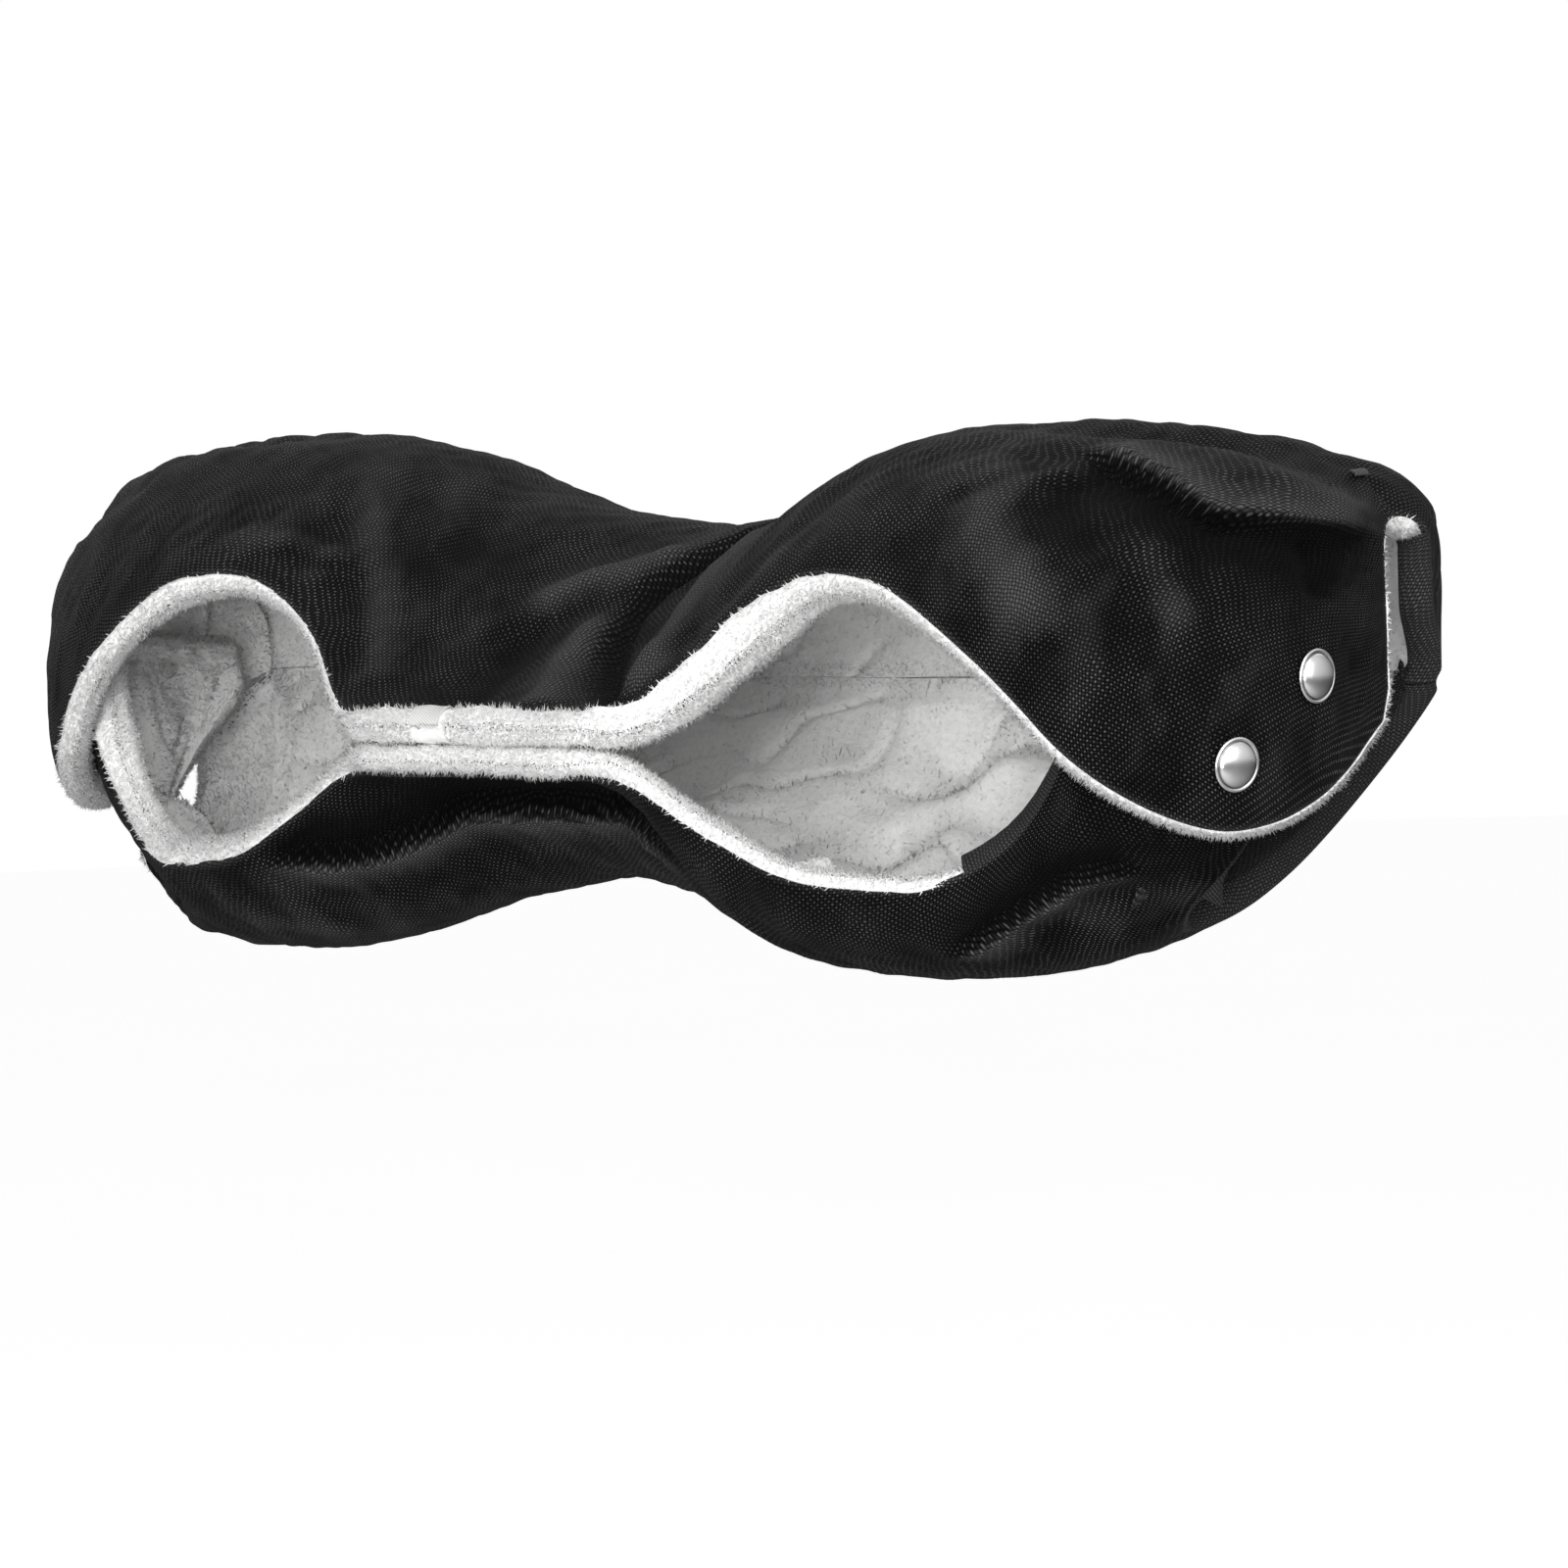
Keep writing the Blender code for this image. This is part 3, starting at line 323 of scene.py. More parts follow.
class PanelRule:
    """The outer face of one panel, as the solids have it."""

    def __init__(self, side: int, front: tuple, middle: tuple, under: tuple, lip: tuple,
                 end: tuple, inside_of: "PanelRule | None" = None) -> None:
        """Keeps the panel's guide curves.

        Args:
            side: 1 for the upper panel, -1 for the lower one.
            front: Rows of shares of the front guide.
            middle: Rows of shares of the middle guide.
            under: Rows of shares of the guide below the middle.
            lip: Rows of station and lip angle.
            end: Rows of angle and end share.
            inside_of: The panel whose flaps lap over this one.
        """
        self.side = side
        self.front = guide(front, CLOSURE_HEIGHT, CLOSURE_HEIGHT)
        self.middle = guide(middle)
        self.over = guide(RIDGE_SHARES)
        self.under = guide(under)
        self.back = guide(BACK_SHARES)
        self.lip = table_curve(lip)
        self.end = table_curve(end)
        self.inside_of = inside_of

    def bare(self, station: np.ndarray, angle: np.ndarray) -> np.ndarray:
        """Gives points of the outer face before the lap and the folds.

        Args:
            station: Signed station shares.
            angle: Angles in degrees.

        Returns:
            Points in metres.
        """
        share = np.abs(station)
        turn = np.radians(angle)
        across = np.cos(turn)[:, None]
        height = np.sin(turn)[:, None]
        middle = self.middle(share)
        reach = np.where(across >= 0, self.front(share), self.back(share)) - middle
        rise = np.where(height >= 0, self.over(share), self.under(share)) - middle
        power = np.where(across >= 0, BILL(share)[:, None], 1.0)
        slim = ramp(share, *SLIT_STATION_SHARES)[:, None]
        straight = np.degrees(np.arcsin(np.abs(height))) / SLIT_STRAIGHT_ANGLE
        cap = np.clip((straight - 1) / (RIDGE_ANGLE / SLIT_STRAIGHT_ANGLE - 1), 0, 1)
        cap = math.pi / 2 * cap
        slit_height = (1 - SLIT_ROUND_SHARE) * np.clip(straight, 0, 1)
        slit_height = slit_height + SLIT_ROUND_SHARE * np.sin(cap)
        out = np.abs(across) * (1 - slim) + np.cos(cap) * slim
        up = np.abs(height)**power * (1 - slim) + slit_height * slim
        points = middle + reach * out + rise * up
        points[:, 0] *= np.where(station < 0, -1.0, 1.0)
        return points

    def base(self, station: np.ndarray, angle: np.ndarray) -> np.ndarray:
        """Gives points of the outer face before the folds.

        Args:
            station: Signed station shares.
            angle: Angles in degrees.

        Returns:
            Points in metres.
        """
        points = self.bare(station, angle)
        if self.inside_of is None:
            return points
        lapped = self.inside_of.layer(station, angle, LAP_DEPTH)
        weight = ramp(np.abs(station), *LAP_BLEND_STATION_SHARES) * lap_share(angle)
        return points * (1 - weight[:, None]) + lapped * weight[:, None]

    def normal(self, station: np.ndarray, angle: np.ndarray) -> np.ndarray:
        """Gives the outward normals of the outer face.

        Args:
            station: Signed station shares.
            angle: Angles in degrees.

        Returns:
            Unit vectors.
        """
        lip = self.lip(np.abs(station))
        back = BACK_ANGLE * self.side
        way = np.clip((angle - lip) / (back - lip), 0, 1)
        step = NORMAL_STEP_ANGLE * self.side
        start = angle - step * way
        reach = 1 - NORMAL_STATION_STEP
        held = np.clip(station, -reach, reach)
        along = (self.base(held + NORMAL_STATION_STEP, angle)
                 - self.base(held - NORMAL_STATION_STEP, angle))
        around = (self.base(station, start + step) - self.base(station, start)) * self.side
        normals = np.cross(along, around)
        normals[:, 2] *= 1 - ramp(way, 1 - SEAM_TURN_SHARE, 1)
        return unit(normals)

    def layer(self, station: np.ndarray, angle: np.ndarray, depth: np.ndarray) -> np.ndarray:
        """Gives points at a depth inside the outer face, with the solids' own folds.

        Args:
            station: Signed station shares.
            angle: Angles in degrees.
            depth: Depths below the outer face.

        Returns:
            Points in metres.
        """
        drop = self.drop(station, angle) + depth
        return self.base(station, angle) - self.normal(station, angle) * drop[:, None]

    def drop(self, station: np.ndarray, angle: np.ndarray) -> np.ndarray:
        """Gives how deep the solids' own folds lie on this panel."""
        drop = main_fold_drop(station, angle)
        return drop if self.inside_of is None else drop * (1 - lap_share(angle))

    def spot(self, station: float, angle: float, depth: float = 0.0) -> tuple[Vector, Vector]:
        """Gives one place on the panel and the direction away from the cloth there.

        Args:
            station: Its signed station share.
            angle: Its angle in degrees.
            depth: Its depth below the outer face.

        Returns:
            The point and the outward unit vector.
        """
        stations = np.array([float(station)])
        angles = np.array([float(angle)])
        point = self.layer(stations, angles, np.array([depth]))[0]
        return Vector(point), Vector(self.normal(stations, angles)[0])


UPPER = PanelRule(1, UPPER_FRONT_SHARES, UPPER_MIDDLE_SHARES, UNDERLAP_SHARES,
                  UPPER_LIP_SHARES, UPPER_END_SHARES)
LOWER = PanelRule(-1, LOWER_FRONT_SHARES, LOWER_MIDDLE_SHARES, KEEL_SHARES,
                  LOWER_LIP_SHARES, LOWER_END_SHARES, inside_of=UPPER)


class FoldForm(Enum):
    """How the cloth lies at a fold."""

    GROOVE = "drawn in along the line"
    RIDGE = "raised along the line"
    PLEAT = "one side laps over the other"


@dataclass(frozen=True)
class Fold:
    """A fold of the outer cloth.

    Attributes:
        form: How the cloth lies.
        path: Places of a station and an angle that the fold runs through.
        width: How wide it is.
        depth: How deep or high it is.
        sides: 1 for the right half, -1 for the left half, or both.
        hollow: For a pleat, on which side of the path the cloth is drawn in.
    """

    form: FoldForm
    path: tuple
    width: float
    depth: float
    sides: tuple = (1,)
    hollow: int = 1


UPPER_FOLDS = (
    Fold(FoldForm.PLEAT, ((0.70, 66), (0.745, 62), (0.79, 56), (0.82, 51), (0.85, 49),
                          (0.89, 54), (0.94, 62), (1.0, 72)), 15 * MM, 7.0 * MM, (1,), -1),
    Fold(FoldForm.GROOVE, ((-0.72, 60), (-0.80, 52), (-0.86, 50)), 8 * MM, 1.6 * MM, (1,)),
    Fold(FoldForm.GROOVE, ((0.60, 47), (0.65, 54), (0.70, 66)), 4 * MM, 1.2 * MM),
    Fold(FoldForm.GROOVE, ((0.832, 44), (0.842, 31), (0.856, 17), (0.866, 8)), 3 * MM, 1.1 * MM,
         (1, -1)),
    Fold(FoldForm.RIDGE, ((0.80, 40), (0.81, 30), (0.825, 17)), 6 * MM, 1.8 * MM, (1, -1)),
    Fold(FoldForm.RIDGE, ((0.66, 62), (0.64, 48), (0.68, 30), (0.74, 16)), 9 * MM, 2.2 * MM),
    Fold(FoldForm.GROOVE, ((0.70, 58), (0.72, 44), (0.76, 34)), 7 * MM, 2.4 * MM),
    Fold(FoldForm.GROOVE, ((0.937, 58), (0.937, 46), (0.935, 33)), 6 * MM, 3.4 * MM, (1, -1)),
    Fold(FoldForm.GROOVE, ((0.955, 22), (0.965, 16), (0.97, 8)), 4 * MM, 1.2 * MM, (1, -1)),
    Fold(FoldForm.GROOVE, ((0.21, 82), (0.13, 79), (0.075, 72), (0.045, 65), (0.06, 56),
                           (0.11, 46), (0.17, 33), (0.215, 22)), 3.6 * MM, 5.6 * MM),
    Fold(FoldForm.RIDGE, ((0.25, 76), (0.20, 61), (0.19, 48), (0.235, 34), (0.25, 20)),
         8 * MM, 3.4 * MM),
    Fold(FoldForm.RIDGE, ((-0.13, 60), (-0.07, 66), (0.0, 70), (0.06, 76)), 6 * MM, 3.2 * MM),
    Fold(FoldForm.RIDGE, ((0.0, 62), (0.03, 50), (0.06, 36), (0.08, 24)), 7 * MM, 2.6 * MM),
    Fold(FoldForm.GROOVE, ((-0.11, 60), (-0.085, 50), (-0.075, 38), (-0.08, 22)), 8 * MM,
         2.4 * MM),
    Fold(FoldForm.RIDGE, ((-0.52, 38), (-0.45, 42), (-0.38, 46), (-0.33, 47)), 4 * MM, 1.1 * MM),
    Fold(FoldForm.RIDGE, ((-0.45, 76), (-0.38, 61), (-0.31, 49), (-0.256, 39), (-0.215, 28)),
         6 * MM, 1.3 * MM),
    Fold(FoldForm.GROOVE, ((-0.37, 50), (-0.30, 36), (-0.255, 24)), 5 * MM, 1.2 * MM),
)
LOWER_FOLDS = (
    Fold(FoldForm.PLEAT, ((0.61, -60), (0.66, -56), (0.70, -49), (0.74, -43), (0.80, -44)),
         12 * MM, 4.4 * MM, (1,), 1),
    Fold(FoldForm.PLEAT, ((-0.42, -33), (-0.36, -36), (-0.30, -42), (-0.22, -50), (-0.10, -55),
                          (0.0, -56), (0.10, -55), (0.20, -50), (0.28, -42)), 15 * MM, 7.0 * MM,
         (1,), 1),
    Fold(FoldForm.RIDGE, ((-0.50, -48), (-0.42, -55), (-0.36, -66)), 6 * MM, 1.2 * MM),
    Fold(FoldForm.GROOVE, ((0.33, -52), (0.42, -60), (0.48, -74)), 7 * MM, 1.4 * MM),
)


class PanelGrid:
    """A fine grid of places on a panel, with what its layers need to know of each place."""

    def __init__(self, rule: PanelRule, columns: np.ndarray, rows: np.ndarray, out: np.ndarray,
                 folds: tuple) -> None:
        """Reads the panel on the grid.

        Args:
            rule: The panel.
            columns: Signed shares from the left end to the right end.
            rows: Shares of the way from the lip, 0, over the ridge or keel, 0.5, to the back, 1.
            out: How far beyond the lip and the ends each added row or column lies, as shares
                of the roll's overhang, outermost first.
            folds: The outer cloth's folds.
        """
        self.rule = rule
        self.columns = columns
        self.added = len(out)
        self.out = out
        column, row = np.meshgrid(columns, rows, indexing="ij")
        shape = column.shape
        lip = rule.lip(np.abs(column))
        turn = RIDGE_ANGLE * rule.side
        rear = (BACK_ANGLE * rule.side - turn) * (row - RIDGE_ROW_SHARE) / (1 - RIDGE_ROW_SHARE)
        angle = np.where(row <= RIDGE_ROW_SHARE, lip + (turn - lip) * row / RIDGE_ROW_SHARE,
                         turn + rear)
        station = column * rule.end(angle)
        flat = (station.ravel(), angle.ravel())
        self.station = station
        self.angle = angle
        self.base = rule.layer(*flat, np.zeros(column.size)).reshape(*shape, 3)
        self.base[:, -1, 2] += rule.side * SEAT_GAP / 2
        self.normal = rule.normal(*flat).reshape(*shape, 3)
        steps = np.linalg.norm(np.diff(self.base, axis=1), axis=2)
        self.from_lip = np.pad(np.cumsum(steps, axis=1), ((0, 0), (1, 0)))
        self.from_back = self.from_lip[:, -1:] - self.from_lip
        steps = np.linalg.norm(np.diff(self.base, axis=0), axis=2)
        along = np.pad(np.cumsum(steps, axis=0), ((1, 0), (0, 0)))
        self.from_end = np.minimum(along, along[-1:] - along)
        middle = shape[0] // 2
        ridge = int(np.argmin(np.abs(rows - RIDGE_ROW_SHARE)))
        self.ridge_row = ridge
        self.cloth_u = along - along[middle:middle + 1]
        self.cloth_v = self.from_lip - self.from_lip[:, ridge:ridge + 1]
        self.from_edge = np.minimum(self.from_lip, self.from_end)
        self.fold = self.fold_heights(folds)
        self.lip_out = self.outward(self.base[:, 0], self.base[:, INNER_PLACES],
                                    self.normal[:, 0])
        self.left_out = self.outward(self.base[0], self.base[INNER_PLACES], self.normal[0])
        self.right_out = self.outward(self.base[-1], self.base[-1 - INNER_PLACES],
                                      self.normal[-1])

    @staticmethod
    def outward(edge: np.ndarray, inner: np.ndarray, normal: np.ndarray) -> np.ndarray:
        """Gives the directions that lead off the panel, square to one of its edges.

        Args:
            edge: Points along the edge.
            inner: Points of the panel some way inside each of them.
            normal: The outward normals along the edge.

        Returns:
            Unit vectors.
        """
        along = np.gradient(edge, axis=0)
        away = unit(np.cross(along, normal))
        sign = np.sign(np.einsum("ij,ij->i", away, edge - inner))[:, None]
        return away * np.where(sign == 0, 1, sign)

    def away(self) -> np.ndarray:
        """Gives the direction off the nearest edge, on the grid with its added places."""
        columns, rows = self.station.shape
        half = columns // 2
        off_end = np.concatenate([np.repeat(self.left_out[None], half, axis=0),
                                  np.repeat(self.right_out[None], columns - half, axis=0)])
        off_lip = np.repeat(self.lip_out[:, None], rows, axis=1)
        nearer_lip = (self.from_lip <= self.from_end)[..., None]
        return self.spread(np.where(nearer_lip, off_lip, off_end))

    def fold_heights(self, folds: tuple) -> np.ndarray:
        """Gives how far the folds raise the outer cloth, below zero where they draw it in.

        Args:
            folds: The folds.

        Returns:
            Heights in metres on the grid.
        """
        heights = np.zeros(self.station.shape)
        for fold in folds:
            for side in fold.sides:
                self.raise_fold(heights.ravel(), fold, side)
        return heights

    def raise_fold(self, heights: np.ndarray, fold: Fold, side: int) -> None:
        """Adds one fold to the heights.

        Args:
            heights: A flat view of the grid's heights, which is changed in place.
            fold: The fold.
            side: 1 for the right half, -1 for the left half.
        """
        points = self.base.reshape(-1, 3)
        normals = self.normal.reshape(-1, 3)
        knots = np.arange(len(fold.path))
        way = np.linspace(0, knots[-1], FOLD_STEPS * len(fold.path))
        line = SmoothCurve(knots, list(fold.path))(way)
        line_points = self.rule.layer(line[:, 0] * side, line[:, 1], np.zeros(len(way)))
        reach = FOLD_REACH_WIDTHS * fold.width
        low = line_points.min(axis=0) - reach
        high = line_points.max(axis=0) + reach
        near = np.where(((points > low) & (points < high)).all(axis=1))[0]
        offset = points[near][:, None] - line_points[None]
        distance = np.linalg.norm(offset, axis=2)
        nearest = distance.argmin(axis=1)
        picked = np.arange(len(near))
        away = distance[picked, nearest]
        tangent = unit(np.gradient(line_points, axis=0))[nearest]
        aside = np.einsum("ij,ij->i", offset[picked, nearest], np.cross(normals[near], tangent))
        share = nearest / (len(way) - 1)
        taper = ramp(share, *FOLD_TAPER_SHARES[:2]) * (1 - ramp(share, *FOLD_TAPER_SHARES[2:]))
        bell = np.exp(-(away / fold.width)**2)
        if fold.form is FoldForm.GROOVE:
            rise = -bell
        elif fold.form is FoldForm.RIDGE:
            rise = bell
        else:
            hollow = ramp(aside * side * fold.hollow, -PLEAT_TURN, PLEAT_TURN)
            crest = np.exp(-(away / (PLEAT_CREST_WIDTH_SHARE * fold.width))**2)
            rise = (PLEAT_CREST_SHARE * (1 - hollow) * crest
                    - hollow * np.exp(-(away / fold.width)**PLEAT_HOLLOW_POWER))
        heights[near] += fold.depth * taper * rise

    def spread(self, values: np.ndarray) -> np.ndarray:
        """Repeats a grid's border values on the added columns and rows.

        Args:
            values: Values on the grid.

        Returns:
            Values on the grid with its added columns and rows.
        """
        widths = [(self.added, self.added), (self.added, 0)] + [(0, 0)] * (values.ndim - 2)
        return np.pad(values, widths, mode="edge")

    def rolled_points(self, overhang: np.ndarray) -> tuple[np.ndarray, np.ndarray]:
        """Gives the outer face's points with the rows and columns that overhang its edges.

        Args:
            overhang: How far the roll overhangs the edge at each place of the grid.

        Returns:
            The points, and how far beyond the edge each one lies, below zero inside.
        """
        points = self.spread(self.base)
        count = self.added
        size = self.spread(overhang)
        lip_share = np.zeros(size.shape)
        lip_share[:, :count] = self.out[None, :]
        end_share = np.zeros(size.shape)
        end_share[:count] = self.out[:, None]
        end_share[len(end_share) - count:] = self.out[::-1, None]
        both = np.hypot(lip_share, end_share)
        tame = np.where(both > 0, np.maximum(lip_share, end_share) / np.maximum(both, 1e-9), 0)
        lip_out = np.pad(self.lip_out, ((count, count), (0, 0)), mode="edge")[:, None]
        end_out = np.zeros(points.shape)
        end_out[:count] = np.pad(self.left_out, ((count, 0), (0, 0)), mode="edge")
        end_out[len(end_out) - count:] = np.pad(self.right_out, ((count, 0), (0, 0)), mode="edge")
        points = points + (lip_share * tame * size)[..., None] * lip_out
        points = points + (end_share * tame * size)[..., None] * end_out
        beyond = np.maximum(lip_share, end_share) * size
        return points, np.where(beyond > 0, beyond, -self.spread(self.from_edge))


def waves(points: np.ndarray, size: float, seed: int, count: int = 14) -> np.ndarray:
    """Gives smooth seeded noise as a sum of plane waves.

    Args:
        points: Places, along the last axis.
        size: About how far apart its crests lie.
        seed: Which noise.
        count: How many waves it sums.

    Returns:
        Numbers around 0, mostly within 1.
    """
    source = np.random.default_rng(seed)
    total = np.zeros(points.shape[:-1])
    for _ in range(count):
        way = source.normal(size=points.shape[-1])
        way = way / np.linalg.norm(way) * source.uniform(*WAVE_PACES) * math.tau / size
        total += np.cos(points @ way + source.uniform(0, math.tau))
    return total / math.sqrt(count)


def fine_shares(count: int, first: float) -> np.ndarray:
    """Lists rising shares from 0 to 1 whose steps start fine and grow.

    Args:
        count: How many steps.
        first: The first step as a share of the mean one.

    Returns:
        The shares.
    """
    steps = first + (1 - first) * ramp(np.arange(count), 0, count * FINE_SHARE)
    return np.pad(np.cumsum(steps), (1, 0)) / steps.sum()


def panel_columns(count: int) -> np.ndarray:
    """Lists signed column shares that are finer at the ends.

    Args:
        count: How many steps each half has.

    Returns:
        Shares from -1 to 1.
    """
    half = 1 - fine_shares(count, FIRST_STEP)
    return np.concatenate([-half, half[::-1][1:]])


def panel_rows(front: int, rear: int) -> np.ndarray:
    """Lists row shares that are finer at the lip.

    Args:
        front: How many steps from the lip to the ridge.
        rear: How many steps from the ridge to the back.

    Returns:
        Shares from 0 to 1.
    """
    fore = fine_shares(front, FIRST_STEP) / 2
    aft = 1 - fine_shares(rear, FIRST_BACK_STEP)[::-1] / 2
    return np.concatenate([fore, aft[1:]])


class Nodes:
    """A short way to wire a material's nodes."""

    def __init__(self, name: str) -> None:
        """Makes a material with its Principled shader.

        Args:
            name: The material's name.
        """
        self.material = bpy.data.materials.new(name)
        self.material.use_nodes = True
        self.tree = self.material.node_tree
        self.shader = self.tree.nodes["Principled BSDF"]

    def put(self, socket: bpy.types.NodeSocket, value: object) -> None:
        """Sets a socket to a number or a colour, or links it.

        Args:
            socket: The input.
            value: A number, a tuple or an output socket.
        """
        if isinstance(value, bpy.types.NodeSocket):
            self.tree.links.new(value, socket)
        else:
            socket.default_value = value

    def add(self, kind: str, output: int | str = 0, inputs: dict | None = None,
            **settings: object) -> bpy.types.NodeSocket:
        """Adds a node.

        Args:
            kind: The node's type.
            output: Which output to hand back.
            inputs: Values or sockets by input name or number.
            **settings: The node's own properties.

        Returns:
            The output socket.
        """
        node = self.tree.nodes.new(kind)
        for key, value in settings.items():
            setattr(node, key, value)
        for key, value in (inputs or {}).items():
            self.put(node.inputs[key], value)
        return node.outputs[output]

    def math(self, operation: str, *values: object) -> bpy.types.NodeSocket:
        """Adds a Math node on numbers or sockets."""
        return self.add("ShaderNodeMath", inputs=dict(enumerate(values)), operation=operation)

    def ramp(self, value: bpy.types.NodeSocket, stops: tuple) -> bpy.types.NodeSocket:
        """Adds a colour ramp.

        Args:
            value: What it reads.
            stops: Pairs of a place and a colour or a grey.

        Returns:
            The colour socket.
        """
        node = self.tree.nodes.new("ShaderNodeValToRGB")
        self.put(node.inputs[0], value)
        elements = node.color_ramp.elements
        while len(elements) < len(stops):
            elements.new(0.5)
        for element, (place, colour) in zip(elements, stops):
            element.position = place
            element.color = (colour, colour, colour, 1) if isinstance(colour, float) \
                else (*colour, 1)
        return node.outputs[0]

    def noise(self, place: bpy.types.NodeSocket, size: float,
              detail: float = 2.0) -> bpy.types.NodeSocket:
        """Adds a noise whose marks are about that size.

        Args:
            place: The coordinates it reads, in metres.
            size: The size of its marks.
            detail: How much finer noise is on top.

        Returns:
            The factor socket.
        """
        return self.add("ShaderNodeTexNoise", inputs={"Vector": place, "Scale": 1 / size,
                                                      "Detail": detail})

    def bump(self, height: bpy.types.NodeSocket, distance: float, strength: float,
             normal: bpy.types.NodeSocket | None = None) -> bpy.types.NodeSocket:
        """Adds a bump.

        Args:
            height: The height from 0 to 1.
            distance: The depth it stands for.
            strength: How strongly it shows.
            normal: A bump that it adds to.

        Returns:
            The normal socket.
        """
        inputs = {"Height": height, "Distance": distance, "Strength": strength}
        if normal is not None:
            inputs["Normal"] = normal
        return self.add("ShaderNodeBump", inputs=inputs)

    def mix(self, share: object, first: object, second: object,
            blend: str = "MIX") -> bpy.types.NodeSocket:
        """Adds a mix of two colours.

        Args:
            share: How much of the second one shows.
            first: The first colour.
            second: The second colour.
            blend: How the second one is laid on the first.

        Returns:
            The colour socket.
        """
        node = self.tree.nodes.new("ShaderNodeMix")
        node.data_type = "RGBA"
        node.blend_type = blend
        for number, value in ((0, share), (6, first), (7, second)):
            self.put(node.inputs[number], value)
        return node.outputs[2]

    def within(self, value: object, low: float, high: float) -> bpy.types.NodeSocket:
        """Holds a value between two limits."""
        return self.math("MINIMUM", self.math("MAXIMUM", value, low), high)

    def finish(self, inputs: dict) -> bpy.types.Material:
        """Sets the shader's inputs by name and hands the material back."""
        for name, value in inputs.items():
            self.put(self.shader.inputs[name], value)
        return self.material


@dataclass(frozen=True)
class WovenCloth:
    """Black basket-woven cloth with painted glints on its thread crowns and painted shade between
    the threads.

    Attributes:
        pitch: The distance from thread to thread.
        dark: The grey of the painted shade between the threads.
        light: The grey of the painted glints on the threads' crowns.
        roughness: The roughness of the crowns.
        drift: Rows of size, detail and weight of the threads' wander.
        thread_power: How flat a thread's crown is.
        thread_dip: How much a thread dips where it goes under, and what is left there.
        weft_height: The height of the weft's crowns beside the warp's.
        cast_size: The size of the patches in which threads catch more or less light.
        cast_stops: How much of the threads' grey each patch keeps.
        crest: The lighter colour of painted highlight on fold crests and of wearing at the hems,
            and how far it is laid on at most.
        groove: The dark colour of painted shade deep in a fold's groove, and how far it darkens at
            most.
        relief: How deep the weave looks.
        fibre: The size and depth of the threads' own fibres.
    """

    pitch: float = 1.08 * MM
    dark: float = 0.0008
    light: float = 0.126
    roughness: float = 0.58
    drift: tuple = ((14 * MM, 2.0, 3.0), (2.2 * MM, 1.0, 0.7))
    thread_power: float = 0.6
    thread_dip: tuple = (0.7, 0.3)
    weft_height: float = 0.72
    cast_size: float = 16 * MM
    cast_stops: tuple = ((0.34, 0.22), (0.50, 0.60), (0.68, 1.0))
    crest: tuple = ((0.110, 0.110, 0.112, 1), 0.8)
    groove: tuple = ((0.0008, 0.0008, 0.0008, 1), 0.85)
    relief: float = 0.42 * MM
    fibre: tuple = (0.35 * MM, 0.05 * MM)

    def weave(self, nodes: Nodes, solid: bpy.types.NodeSocket) -> bpy.types.NodeSocket:
        """Builds the height of the weave, over and under in turn.

        Args:
            nodes: The material's nodes.
            solid: The object's coordinates.

        Returns:
            The height socket, from 0 to 1.
        """
        place = nodes.add("ShaderNodeUVMap", uv_map="weave")
        drift = nodes.math("ADD", *[
            nodes.math("MULTIPLY", nodes.noise(solid, size, detail), weight)
            for size, detail, weight in self.drift])
        split = nodes.tree.nodes.new("ShaderNodeSeparateXYZ")
        nodes.put(split.inputs[0], place)
        threads = [nodes.math("ADD", nodes.math("DIVIDE", part, self.pitch), drift)
                   for part in split.outputs[:2]]
        ridges = [nodes.math("ABSOLUTE", nodes.math("SINE", nodes.math("MULTIPLY", part, math.pi)))
                  for part in threads]
        cells = nodes.math("ADD", *[nodes.math("FLOOR", part) for part in threads])
        over = nodes.math("FLOORED_MODULO", cells, 2.0)
        warp, weft = [
            nodes.math("MULTIPLY", nodes.math("POWER", own, self.thread_power),
                       nodes.math("MULTIPLY_ADD", other, *self.thread_dip))
            for own, other in (ridges, ridges[::-1])]
        weft = nodes.math("MULTIPLY", weft, self.weft_height)
        return nodes.math("ADD", nodes.math("MULTIPLY", warp, over),
                          nodes.math("MULTIPLY", weft, nodes.math("SUBTRACT", 1.0, over)))

    def material(self, name: str) -> bpy.types.Material:
        """Builds the material.

        Args:
            name: Its name.

        Returns:
            The material.
        """
        nodes = Nodes(name)
        solid = nodes.add("ShaderNodeTexCoord", "Object")
        height = self.weave(nodes, solid)
        # Painted glints on the thread crowns and painted shade between the threads, from the
        # weave's height.
        thread = nodes.ramp(height, ((0.30, self.dark), (0.70, 0.10 * self.light),
                                     (0.98, self.light)))
        faded = nodes.ramp(nodes.noise(solid, self.cast_size, 6.0), self.cast_stops)
        colour = nodes.mix(1.0, thread, faded, "MULTIPLY")
        # Above zero: lighter hems from wearing and a painted highlight on fold crests; below zero:
        # painted shade in fold grooves.
        wear_and_shading = nodes.add("ShaderNodeAttribute", "Fac", attribute_name="wear_and_fold_shading")
        crest = nodes.within(wear_and_shading, 0.0, self.crest[1])
        groove = nodes.within(nodes.math("MULTIPLY", wear_and_shading, -1.0), 0.0, self.groove[1])
        worn_hems_and_lit_crests = nodes.mix(nodes.math("MULTIPLY", crest, height), colour, self.crest[0])
        fibre = nodes.bump(nodes.noise(solid, self.fibre[0], 2.0), self.fibre[1], 0.5)
        return nodes.finish({
            "Base Color": nodes.mix(groove, worn_hems_and_lit_crests, self.groove[0]),
            "Roughness": nodes.math("MULTIPLY_ADD", height, -0.16, self.roughness + 0.16),
            "Specular IOR Level": 0.05, "Sheen Weight": 0.01, "Sheen Roughness": 0.40,
            "Normal": nodes.bump(height, self.relief, 0.9, fibre)})


